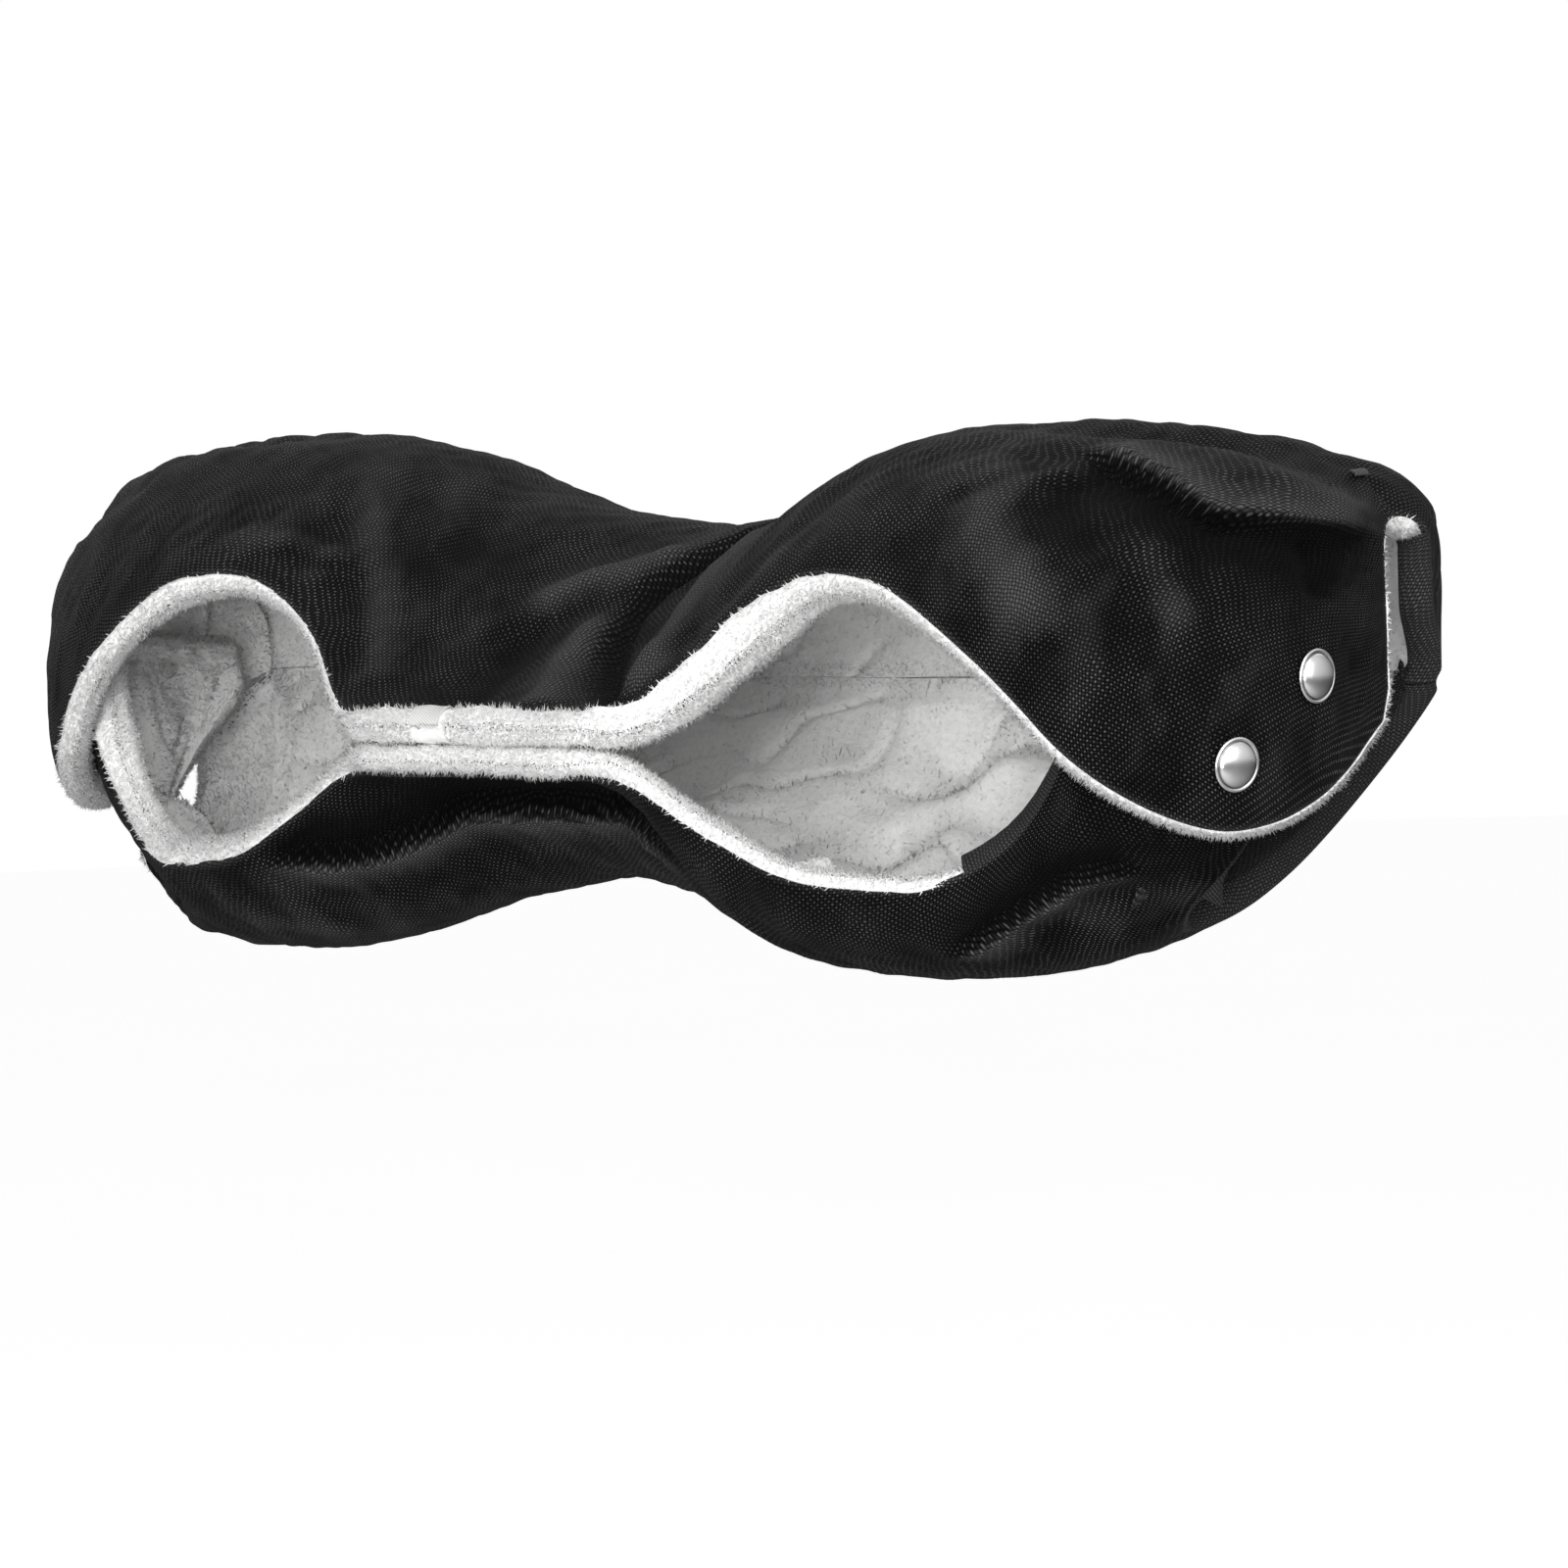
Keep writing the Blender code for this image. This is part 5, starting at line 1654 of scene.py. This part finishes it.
        wrapped = (centre + normal * half * np.cos(turn)
                   + away * (self.bound_bulge * np.sin(turn) - back))
        added = (share > 0)[..., None]
        faces[0][:] = np.where(added, wrapped, faces[0])
        faces[1][:] = np.where(added, wrapped - facing * (CLOTH_THICKNESS - SEAT_GAP), faces[1])
        step = np.where(lip_share > 0, -length, 0)
        places[..., 1] += step
        places[..., 0] += np.where(lip_share > 0, 0, length)
        bound = grid.spread(self.bound(grid.station, grid.angle))
        kept = (share > 0) & ~both & (bound > self.bound_least)
        index = np.arange(columns)[:, None]
        row = np.arange(rows)[None]
        extra = (index < count) | (index >= columns - count - 1) | (row < count)
        extra = extra[:-1, :-1]
        near = kept | (share == 0)
        cells = near[:-1, :-1] & near[1:, :-1] & near[:-1, 1:] & near[1:, 1:]
        cells[:count] = False
        return cells & extra, extra

    def roll_form(self, grid: PanelGrid, bound: np.ndarray) -> tuple[np.ndarray, ...]:
        """Gives the form of the fleece roll at each place.

        Args:
            grid: The fleece's grid.
            bound: Where the edge is bound and has no roll.

        Returns:
            Half the roll's height, how far it overhangs the edge, how much of that is the left
            end's cuff, and where the middle is closed.
        """
        station = grid.spread(grid.station)
        angle = grid.spread(grid.angle)
        ending = 1 - ramp(grid.spread(grid.from_end), *self.end_roll_reach)
        half = (self.roll(station) * (1 - ending) + self.end_roll(angle) * ending) * MM
        half = half * (1 - bound) + FLEECE_THICKNESS / 2 * bound
        start = self.cuff_start if self.rule.side > 0 else self.cuff_start - self.cuff_lead
        cuff = self.cuff * ending * ramp(-station, *self.cuff_stations) * ramp(
            angle * self.rule.side, start, start + self.cuff_growth)
        closed = 1 - ramp(np.abs(station), *self.closed_stations)
        overhang = half * (self.overhang_share + self.closed_share * closed) + cuff
        return half, overhang * (1 - bound) + SEAT_GAP * bound, cuff, closed

    def draw_back(self, grid: PanelGrid, points: np.ndarray, beyond: np.ndarray,
                  bound: np.ndarray) -> np.ndarray:
        """Draws the lining back from the bound edges.

        Args:
            grid: The fleece's grid.
            points: The outer face's points, with those that overhang the edge.
            beyond: How far beyond the edge each of them lies.
            bound: Where the edge is bound.

        Returns:
            The points that the lining is measured from.
        """
        pull = self.bound_inset * bound * (1 - ramp(-beyond, 0, self.bound_fade * self.bound_inset))
        points = points - grid.away() * pull[..., None]
        if self.rule.side < 0:
            near = np.linalg.norm(points - np.array(TUCK_PLACE), axis=2)
            points[..., 0] -= TUCK_DEPTH * (1 - ramp(near, *TUCK_REACH))
        return points

    def swelling(self, grid: PanelGrid, points: np.ndarray, beyond: np.ndarray,
                 bound: np.ndarray) -> np.ndarray:
        """Gives how far the lining swells inward, where nothing presses it flat.

        Args:
            grid: The fleece's grid.
            points: The points that the lining is measured from.
            beyond: How far beyond the edge each of them lies.
            bound: Where the edge is bound.

        Returns:
            Heights in metres.
        """
        station = np.abs(grid.spread(grid.station))
        soft = grid.spread(self.calm(grid)) * ramp(-beyond, *self.soft_reach)
        lapped = ramp(station, *self.lapped_stations) * (self.rule.side > 0)
        closed = 1 - (1 - ramp(station, *self.strip_stations)) * (
            1 - ramp(-beyond, *self.strip_reach))
        soft = soft * (1 - self.lapped_calm * lapped) * closed
        start, end = self.facing_press
        soft = soft * (1 - bound * (1 - ramp(-beyond, start * self.facing, end * self.facing)))
        height, size, seed = self.swell
        swell = height * (1 + waves(points, size, seed + self.rule.side))
        depth, size, narrow, seed = self.crease
        swell -= depth * np.exp(-(waves(points, size, seed + self.rule.side) / narrow)**2)
        swell += grid.spread(grid.fold_heights(self.lining_folds))
        return soft * swell

    def build_fleece(self) -> None:
        """Builds the fleece lining with its rolled edges, soft inner face and tufts."""
        grid = PanelGrid(self.rule, panel_columns(FLEECE_COLUMNS), panel_rows(*FLEECE_ROWS),
                         ROLL_SHARES, self.folds)
        bound = self.bound(grid.spread(grid.station), grid.spread(grid.angle))
        half, overhang, cuff, closed = self.roll_form(grid, bound)
        inside = slice(grid.added, -grid.added)
        points, beyond = grid.rolled_points(overhang[inside, grid.added:])
        points = self.draw_back(grid, points, beyond, bound)
        lining_middle = PANEL_THICKNESS - FLEECE_THICKNESS / 2
        roll_middle = half - SEAT_GAP
        roll_middle += (CLOSURE_HEIGHT / 2 - half - roll_middle) * closed
        roll_middle = roll_middle * (1 - bound) + lining_middle * bound
        way = overhang - beyond
        width = half * self.roll_width_share
        front = np.clip(way / width, 0, 1)
        settled = ramp(way, width + cuff, self.settle_share * width + cuff)
        rough = 1 + sum(weight * waves(points, size, seed + self.rule.side)
                        for weight, size, seed in self.uneven)
        half_now = half * rough * np.sqrt(1 - (1 - front)**2) * (1 - settled)
        half_now = half_now + FLEECE_THICKNESS / 2 * settled
        middle = roll_middle * (1 - settled) + lining_middle * settled
        draw = grid.spread(np.maximum(-self.lift(grid), 0))
        lid = grid.spread(self.turn_in(grid)) + CLOTH_THICKNESS + SEAT_GAP
        lid = np.where(beyond < -SEAT_GAP, lid + self.lid_follow * draw, -HALF_LENGTH)
        shallow = np.maximum(middle - half_now + self.follow * draw, lid)
        deep = middle + half_now + self.lining_follow * draw
        deep = np.maximum(deep + self.swelling(grid, points, beyond, bound), shallow + self.least)
        deep = np.where(np.maximum(way, 0) < SEAT_GAP, shallow + SEAT_GAP, deep)
        normal = grid.spread(grid.normal)
        outer = points - normal * shallow[..., None]
        inner = points - normal * deep[..., None]
        weight = self.tuft_weight(grid, points, way, half, bound)
        kept = grid.added + ROLLED_ROWS
        self.rolled = (outer[:, :kept], inner[:, :kept])
        for number, part in enumerate(self.parts()):
            slab = Slab(outer, inner, self.mask(grid, part), self.rule.side)
            slab.grow_tufts(weight, beyond > -SEAT_GAP, self.tuft_density, number + TUFT_SEED)
            piece = slab.link(self.node_name(part, "fleece"), self.finishes.fleece)
            self.attach(piece, part, "fleece_lining")

    def tuft_weight(self, grid: PanelGrid, points: np.ndarray, way: np.ndarray,
                    half: np.ndarray, bound: np.ndarray) -> np.ndarray:
        """Gives how thickly tufts stand at each place of the fleece.

        Args:
            grid: The fleece's grid.
            points: The points that the lining is measured from.
            way: How far each place lies inside the roll's tip.
            half: Half the roll's height.
            bound: Where the edge is bound.

        Returns:
            Shares of the tuft density.
        """
        near = 1 - ramp(way, self.tuft_reach[0] * half, self.tuft_reach[1] * half)
        weight = self.tuft_least + (1 - self.tuft_least) * near * (1 - self.tuft_bound * bound)
        seams = 1 - ramp(grid.spread(grid.from_back), *self.tuft_seams)
        if self.rule.side > 0:
            split = np.abs(np.abs(grid.spread(grid.station)) - self.split_station)
            seams = np.maximum(seams, 1 - ramp(split, *self.tuft_splits))
        more, start, end = self.tuft_tips
        weight = np.maximum(weight, seams) + more * (1 - bound) * (1 - ramp(way, start, end))
        beside = np.abs(points[..., 0] - LABEL_MIDDLE) > LABEL_CLEAR_SHARE * LABEL_WIDTH
        return weight * ((self.rule.side < 0) | beside | (way > 2 * LABEL_HEIGHT))

    def build(self) -> None:
        """Builds every layer of the panel."""
        self.build_fleece()
        self.build_cloth()


@dataclass
class WovenLabel:
    """The bare woven label, laid over the roll of the upper lip.

    Attributes:
        finishes: The materials.
        thickness: Its thickness.
        lift: How far it lies off the roll.
        across: How many places it has along the lip.
        around: How many places it has round the roll.
    """

    finishes: Finishes
    thickness: float = 0.5 * MM
    lift: float = 0.35 * MM
    across: int = 13
    around: int = 15

    def build(self, panel: SoftPanel) -> None:
        """Lays the label round the roll.

        Args:
            panel: The upper panel, already built.
        """
        outer, inner = panel.rolled
        start = SETTLED_ROWS
        path = np.concatenate([outer[:, start::-1], inner[:, 1:]], axis=1)
        wanted = LABEL_MIDDLE + LABEL_WIDTH * np.linspace(-0.5, 0.5, self.across)
        column = np.interp(wanted, path[:, start, 0], np.arange(len(path)))
        whole = column.astype(int)
        part = (column - whole)[:, None, None]
        path = path[whole] * (1 - part) + path[whole + 1] * part
        steps = np.linalg.norm(np.diff(path, axis=1), axis=2)
        along = np.pad(np.cumsum(steps, axis=1), ((0, 0), (1, 0)))
        places = np.linspace(0, LABEL_HEIGHT, self.around)
        points = np.stack([np.stack([np.interp(places, way, line[:, axis]) for axis in range(3)],
                                    axis=1) for way, line in zip(along, path)])
        outward = -Slab.grid_normals(points)
        slab = Slab(points + outward * (self.lift + self.thickness),
                    points + outward * self.lift, np.ones((self.across - 1, self.around - 1), bool),
                    -1)
        piece = slab.link("bare_label", self.finishes.label)
        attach(piece, "muff")
        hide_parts("woven_label")


@dataclass
class SnapCap:
    """The polished cap of a press snap, on a flap's outer face.

    Attributes:
        side: "right" or "left".
        place: "upper" or "lower".
        finishes: The materials.
        turns: How many steps round it.
        rim_turn: From which to which angle its rolled rim runs, and in how many places.
        dome_turn: The same of its dome.
        dome_foot: How high the dome's foot lies, in rim radii.
        dome_sink: By how much of them the dome is lower than the cap's height.
    """

    side: str
    place: str
    finishes: Finishes
    turns: int = 72
    rim_turn: tuple = (-60, 110, 9)
    dome_turn: tuple = (4, 90, 16)
    dome_foot: float = 1.7
    dome_sink: float = 0.6

    def profile(self) -> np.ndarray:
        """Gives the turned profile: a post, a rolled rim and a shallow dome."""
        post_end = -(SOCKET_DEPTH + SOCKET_FLOOR)
        rim = CAP_RADIUS - CAP_RIM
        rows = [(0, post_end), (CAP_POST_RADIUS, post_end), (CAP_POST_RADIUS, SEAT_GAP),
                (rim, SEAT_GAP)]
        for turn in np.radians(np.linspace(*self.rim_turn)):
            rows.append((rim + CAP_RIM * math.cos(turn),
                         CAP_RIM + SEAT_GAP + CAP_RIM * math.sin(turn)))
        groove = rim - CAP_RIM
        rise = CAP_DOME - self.dome_sink * CAP_RIM
        for turn in np.radians(np.linspace(*self.dome_turn)):
            rows.append((groove * math.cos(turn),
                         self.dome_foot * CAP_RIM + rise * math.sin(turn)))
        rows[-1] = (0, rows[-1][1])
        return np.array(rows)

    def build(self) -> None:
        """Builds the cap and lets it ride on its flap."""
        mirror = 1 if self.side == "right" else -1
        point, away = UPPER.spot(*SNAP_PLACES[self.place])
        piece = turned(f"{self.side}_{self.place}_cap", self.profile(), self.turns,
                       stand_at(point, away, mirror), self.finishes.steel)
        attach(piece, self.side + "_flap")
        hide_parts(f"{self.side}_{self.place}_snap_cap")


def stand_at(point: Vector, away: Vector, mirror: int) -> Matrix:
    """Gives the frame of a piece that stands on the cloth.

    Args:
        point: Where it stands, on the right half.
        away: The direction away from the cloth.
        mirror: -1 for the left half, 1 for the right one.

    Returns:
        A matrix whose +Z is the outward direction.
    """
    place = Vector((point.x * mirror, point.y, point.z))
    outward = Vector((away.x * mirror, away.y, away.z)).normalized()
    side = Vector((0, 0, 1)).cross(outward).normalized()
    up = outward.cross(side)
    return Matrix.Translation(place) @ Matrix((side, up, outward)).transposed().to_4x4()


def turned(name: str, profile: np.ndarray, turns: int, place: Matrix,
           material: bpy.types.Material) -> bpy.types.Object:
    """Turns a profile, which starts and ends on the axis, about its frame's Z axis.

    Args:
        name: The object's name.
        profile: Rows of radius and height.
        turns: How many steps round it.
        place: Its frame.
        material: Its material.

    Returns:
        The object.
    """
    rings = profile[1:-1]
    angles = np.linspace(0, math.tau, turns, endpoint=False)
    wall = np.stack([rings[:, 0, None] * np.cos(angles), rings[:, 0, None] * np.sin(angles),
                     np.repeat(rings[:, 1, None], turns, axis=1)], axis=-1)
    points = np.concatenate([wall.reshape(-1, 3), [(0, 0, profile[0, 1]), (0, 0, profile[-1, 1])]])
    index = np.arange(wall.shape[0] * turns).reshape(-1, turns)
    after = np.roll(index, -1, axis=1)
    quads = np.stack([index[:-1], after[:-1], after[1:], index[1:]], axis=-1).reshape(-1, 4)
    first = np.full(turns, len(points) - 2)
    last = np.full(turns, len(points) - 1)
    caps = np.concatenate([np.stack([first, after[0], index[0]], axis=1),
                           np.stack([last, index[-1], after[-1]], axis=1)])
    made = MeshKit.link(name, points, [quads, caps], material)
    made.data.set_sharp_from_angle(angle=math.radians(SHARP_ANGLE))
    made.matrix_world = place
    return made


# the quads that close a ring of eight points
END_QUADS = ((0, 1, 2, 3), (0, 3, 4, 7), (7, 4, 5, 6))


@dataclass
class ThreadBar:
    """The bartack at a slit's top: a bar of close stitches.

    Attributes:
        side: "right" or "left".
        finishes: The materials.
        length: The bar's length.
        width: The bar's width.
        thread: The thread's radius.
        stitches: How many stitches cross it.
        rise: How high a stitch arches.
        lean: How far it leans to either side, in thread radii.
        rings: How many rings a stitch has.
        sides: How many sides a ring has, for which END_QUADS closes it.
    """

    side: str
    finishes: Finishes
    length: float = 7.5 * MM
    width: float = 2.0 * MM
    thread: float = 0.32 * MM
    stitches: int = 14
    rise: float = 0.5 * MM
    lean: float = 0.35
    rings: int = 11
    sides: int = 8

    def stitch(self, number: int) -> np.ndarray:
        """Gives the rings of points of one arched thread.

        Args:
            number: Which stitch it is.

        Returns:
            The points, rings along the thread.
        """
        arch = np.radians(np.linspace(0, 180, self.rings))
        ring = np.linspace(0, math.tau, self.sides, endpoint=False)
        along = self.length * (number / (self.stitches - 1) - 0.5)
        lean = self.lean * self.thread * (-1)**number
        middle = np.stack([along + lean * np.cos(arch), self.width / 2 * np.cos(arch),
                           self.thread + self.rise * np.sin(arch)**0.7], axis=1)
        tangent = unit(np.gradient(middle, axis=0))
        side = unit(np.cross(tangent, (1.0, 0, 0)))
        other = np.cross(tangent, side)
        return middle[:, None] + self.thread * (side[:, None] * np.cos(ring)[None, :, None]
                                                + other[:, None] * np.sin(ring)[None, :, None])

    def build(self) -> None:
        """Builds the stitches as arched threads in one mesh."""
        mirror = 1 if self.side == "right" else -1
        point, away = UPPER.spot(BARTACK_STATION, RIDGE_ANGLE)
        points = []
        faces = []
        for number in range(self.stitches):
            tube = self.stitch(number)
            index = np.arange(tube.shape[0] * self.sides).reshape(-1, self.sides)
            index = index + number * index.size
            after = np.roll(index, -1, axis=1)
            faces.append(np.stack([index[:-1], after[:-1], after[1:], index[1:]],
                                  axis=-1).reshape(-1, 4))
            faces.append(np.array([row[list(quad)][::turn] for row, turn in
                                   ((index[0], -1), (index[-1], 1)) for quad in END_QUADS]))
            points.append(tube.reshape(-1, 3))
        piece = MeshKit.link(self.side + "_thread_bar", np.concatenate(points), faces,
                             self.finishes.thread)
        piece.matrix_world = stand_at(point + away * SEAT_GAP, away, mirror)
        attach(piece, "muff")
        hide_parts(self.side + "_slit_bartack")


# each lamp's name, place, side and power in watts
LAMPS = (("key", (1.00, -0.90, 1.60), 0.8, 11.5),
         ("front", (1.25, -1.55, 0.55), 0.8, 12.0),
         ("side", (1.9, -0.5, 0.6), 1.2, 6.5),
         ("low", (0.62, -1.75, 0.10), 1.0, 21.0),
         ("back", (0.3, 1.7, 1.5), 1.2, 7.0))
WHITE = (1, 1, 1, 1)


@dataclass
class Studio:
    """A plain pale floor, soft lamps and the photo's view.

    Attributes:
        azimuth: Degrees that the camera stands round to the right.
        elevation: Degrees that it looks down.
        distance: How far it stands from the bar's middle.
        pan: Degrees that it turns right of the bar's middle.
        tilt: Degrees that it turns below the bar's middle.
        roll: Degrees that the picture turns left.
        focal: Its lens in millimetres.
        sensor: The sensor's width in millimetres.
        fill: The surround's strength as a light.
        floor_drop: How far the floor lies below the bar.
        floor_radius: How far the floor reaches.
        floor_steps: How many corners it has.
        floor_greys: Its darkest and palest grey.
        floor_glow: How much whiter the camera sees it.
    """

    azimuth: float = 37.0
    elevation: float = 4.0
    distance: float = 1.8
    pan: float = 1.016
    tilt: float = 0.878
    roll: float = 2.2
    focal: float = 139.5
    sensor: float = 36.0
    fill: float = 0.18
    floor_drop: float = 0.9
    floor_radius: float = 9.0
    floor_steps: int = 64
    floor_greys: tuple = (0.80, 0.82)
    floor_glow: float = 0.80

    def camera(self) -> None:
        """Places the camera."""
        turn = math.radians(self.azimuth)
        rise = math.radians(self.elevation)
        back = Vector((math.sin(turn) * math.cos(rise), -math.cos(turn) * math.cos(rise),
                       math.sin(rise)))
        data = bpy.data.cameras.new("camera")
        data.lens = self.focal
        data.sensor_width = self.sensor
        camera = bpy.data.objects.new("camera", data)
        bpy.context.scene.collection.objects.link(camera)
        look = (-back).to_track_quat("-Z", "Y").to_matrix().to_4x4()
        look = look @ Matrix.Rotation(math.radians(-self.roll), 4, "Z")
        look = look @ Matrix.Rotation(math.radians(-self.pan), 4, "Y")
        look = look @ Matrix.Rotation(math.radians(-self.tilt), 4, "X")
        camera.matrix_world = Matrix.Translation(back * self.distance) @ look
        bpy.context.scene.camera = camera

    def lamp(self, name: str, place: tuple, size: float, power: float) -> None:
        """Adds a soft square lamp that shines on the muff.

        Args:
            name: Its name.
            place: Where it stands.
            size: Its side.
            power: Its power in watts.
        """
        data = bpy.data.lights.new(name, "AREA")
        data.shape = "SQUARE"
        data.size = size
        data.energy = power
        lamp = bpy.data.objects.new(name, data)
        lamp.location = place
        lamp.rotation_mode = "QUATERNION"
        lamp.rotation_quaternion = (-Vector(place)).to_track_quat("-Z", "Y")
        bpy.context.scene.collection.objects.link(lamp)

    def world(self, fill: float) -> None:
        """Makes a white surround whose light on the muff is softer than its look.

        Args:
            fill: Its strength as a light.
        """
        world = bpy.data.worlds.new("surround")
        world.use_nodes = True
        tree = world.node_tree
        paths = tree.nodes.new("ShaderNodeLightPath")
        seen = paths.outputs["Is Camera Ray"]
        for other in ("Is Glossy Ray", "Is Transmission Ray"):
            both = tree.nodes.new("ShaderNodeMath")
            both.operation = "MAXIMUM"
            tree.links.new(seen, both.inputs[0])
            tree.links.new(paths.outputs[other], both.inputs[1])
            seen = both.outputs[0]
        level = tree.nodes.new("ShaderNodeMapRange")
        tree.links.new(seen, level.inputs["Value"])
        level.inputs["To Min"].default_value = fill
        background = tree.nodes["Background"]
        background.inputs["Color"].default_value = WHITE
        tree.links.new(level.outputs[0], background.inputs["Strength"])
        bpy.context.scene.world = world

    def floor(self) -> None:
        """Lays the floor."""
        nodes = Nodes("pale_floor")
        place = nodes.add("ShaderNodeTexCoord", "Object")
        dark, pale = self.floor_greys
        seen = nodes.add("ShaderNodeLightPath", "Is Camera Ray")
        nodes.finish({
            "Base Color": nodes.ramp(nodes.noise(place, 0.4), ((0.3, dark), (0.7, pale))),
            "Roughness": 0.9, "Specular IOR Level": 0.1, "Emission Color": WHITE,
            "Emission Strength": nodes.math("MULTIPLY", seen, self.floor_glow)})
        angles = np.linspace(0, math.tau, self.floor_steps, endpoint=False)
        ring = self.floor_radius * np.stack([np.cos(angles), np.sin(angles), 0 * angles], axis=1)
        points = np.concatenate([ring, [(0, 0, 0)]]) - (0, 0, self.floor_drop)
        index = np.arange(self.floor_steps)
        middle = np.full(self.floor_steps, self.floor_steps)
        faces = np.stack([index, np.roll(index, -1), middle], axis=1)
        MeshKit.link("floor", points, [faces], nodes.material)

    def build(self) -> None:
        """Sets the whole studio up."""
        self.camera()
        self.world(self.fill)
        self.floor()
        for lamp in LAMPS:
            self.lamp(*lamp)
        bpy.context.scene.view_settings.view_transform = "Standard"


UPPER_ROLL_ROWS = ((-1, 5.6), (-0.62, 5.6), (-0.50, 5.2), (-0.42, 3.6), (-0.34, 2.3),
                   (-0.26, 2.4), (-0.20, 4.6), (0, 5.1), (0.18, 5.1), (0.25, 7.6), (0.33, 9.6),
                   (0.41, 8.6), (0.50, 6.0), (0.60, 4.0), (0.74, 3.0), (1, 2.8))
LOWER_ROLL_ROWS = ((-1, 5.0), (-0.74, 6.2), (-0.50, 6.4), (-0.38, 5.0), (-0.28, 3.8),
                   (-0.18, 3.7), (0, 3.8), (0.20, 4.0), (0.35, 3.6), (0.60, 3.0), (1, 2.0))
UPPER_END_ROWS = ((-20, 2.8), (0, 3.0), (30, 4.8), (90, 5.4), (130, 5.2), (155, 7.5), (180, 8.5))
LOWER_END_ROWS = ((-180, 8.5), (-155, 7.5), (-130, 5.5), (-95, 4.0), (-55, 4.5), (-28, 6.0),
                  (20, 4.5))
UPPER_LINING_FOLDS = (
    Fold(FoldForm.RIDGE, ((0.66, 2), (0.62, 20), (0.60, 45)), 7 * MM, 6 * MM),
    Fold(FoldForm.RIDGE, ((0.72, -10), (0.70, 12), (0.69, 40)), 5 * MM, 5 * MM),
    Fold(FoldForm.RIDGE, ((0.22, 150), (0.36, 140), (0.50, 150), (0.64, 165)), 12 * MM, 9 * MM),
    Fold(FoldForm.RIDGE, ((-0.30, 160), (-0.45, 140), (-0.62, 150)), 12 * MM, 8 * MM),
)
LOWER_LINING_FOLDS = (
    Fold(FoldForm.GROOVE, ((0.44, -32), (0.45, -60), (0.50, -95), (0.52, -130)), 4 * MM, 3 * MM),
    Fold(FoldForm.RIDGE, ((0.34, -50), (0.38, -95), (0.40, -140), (0.36, -175)), 14 * MM, 10 * MM),
    Fold(FoldForm.RIDGE, ((0.57, -50), (0.62, -95), (0.64, -140), (0.60, -170)), 13 * MM, 10 * MM),
    Fold(FoldForm.RIDGE, ((0.20, -120), (0.45, -150), (0.66, -165)), 10 * MM, 7 * MM),
    Fold(FoldForm.RIDGE, ((-0.88, -66), (-0.74, -68), (-0.56, -62), (-0.42, -56)), 16 * MM,
         9 * MM),
    Fold(FoldForm.RIDGE, ((-0.84, -112), (-0.68, -122), (-0.50, -120)), 14 * MM, 7 * MM),
    Fold(FoldForm.RIDGE, ((0.28, -56), (0.36, -64), (0.43, -62)), 15 * MM, 5 * MM),
)
# where, how far and how far round the lining is drawn back from the hollow of the right end
TUCK_PLACE = (0.190, -0.016, -0.0565)
TUCK_DEPTH = 6 * MM
TUCK_REACH = (5 * MM, 15 * MM)


def dress_nodes(finishes: Finishes) -> None:
    """Gives the carried-over solids their finishes.

    Args:
        finishes: The materials.
    """
    looks = {"snap_socket": (finishes.steel, "snap_steel"),
             "snap_stud": (finishes.steel, "snap_steel"),
             "snap_stud_back": (finishes.steel, "snap_steel"),
             "closure_hook_strip": (finishes.tape, "hook_tape"),
             "closure_loop_strip": (finishes.tape, "loop_tape")}
    for name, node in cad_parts.items():
        for ending, (material, slot) in looks.items():
            if name.endswith(ending):
                for number in range(len(node.material_slots)):
                    node.material_slots[number].material = material


def main() -> None:
    """Builds the muff and its studio in order."""
    logging.basicConfig(level=logging.INFO, format="%(name)s: %(message)s")
    finishes = Finishes()
    upper = SoftPanel(UPPER, "upper", UPPER_FOLDS, finishes, UPPER_ROLL_ROWS, UPPER_END_ROWS,
                      UPPER_LINING_FOLDS)
    upper.build()
    WovenLabel(finishes).build(upper)
    SoftPanel(LOWER, "lower", LOWER_FOLDS, finishes, LOWER_ROLL_ROWS, LOWER_END_ROWS,
              LOWER_LINING_FOLDS).build()
    for side in ("right", "left"):
        for place in SNAP_PLACES:
            SnapCap(side, place, finishes).build()
        ThreadBar(side, finishes).build()
    dress_nodes(finishes)
    Studio().build()


if __name__ == "__main__":
    main()
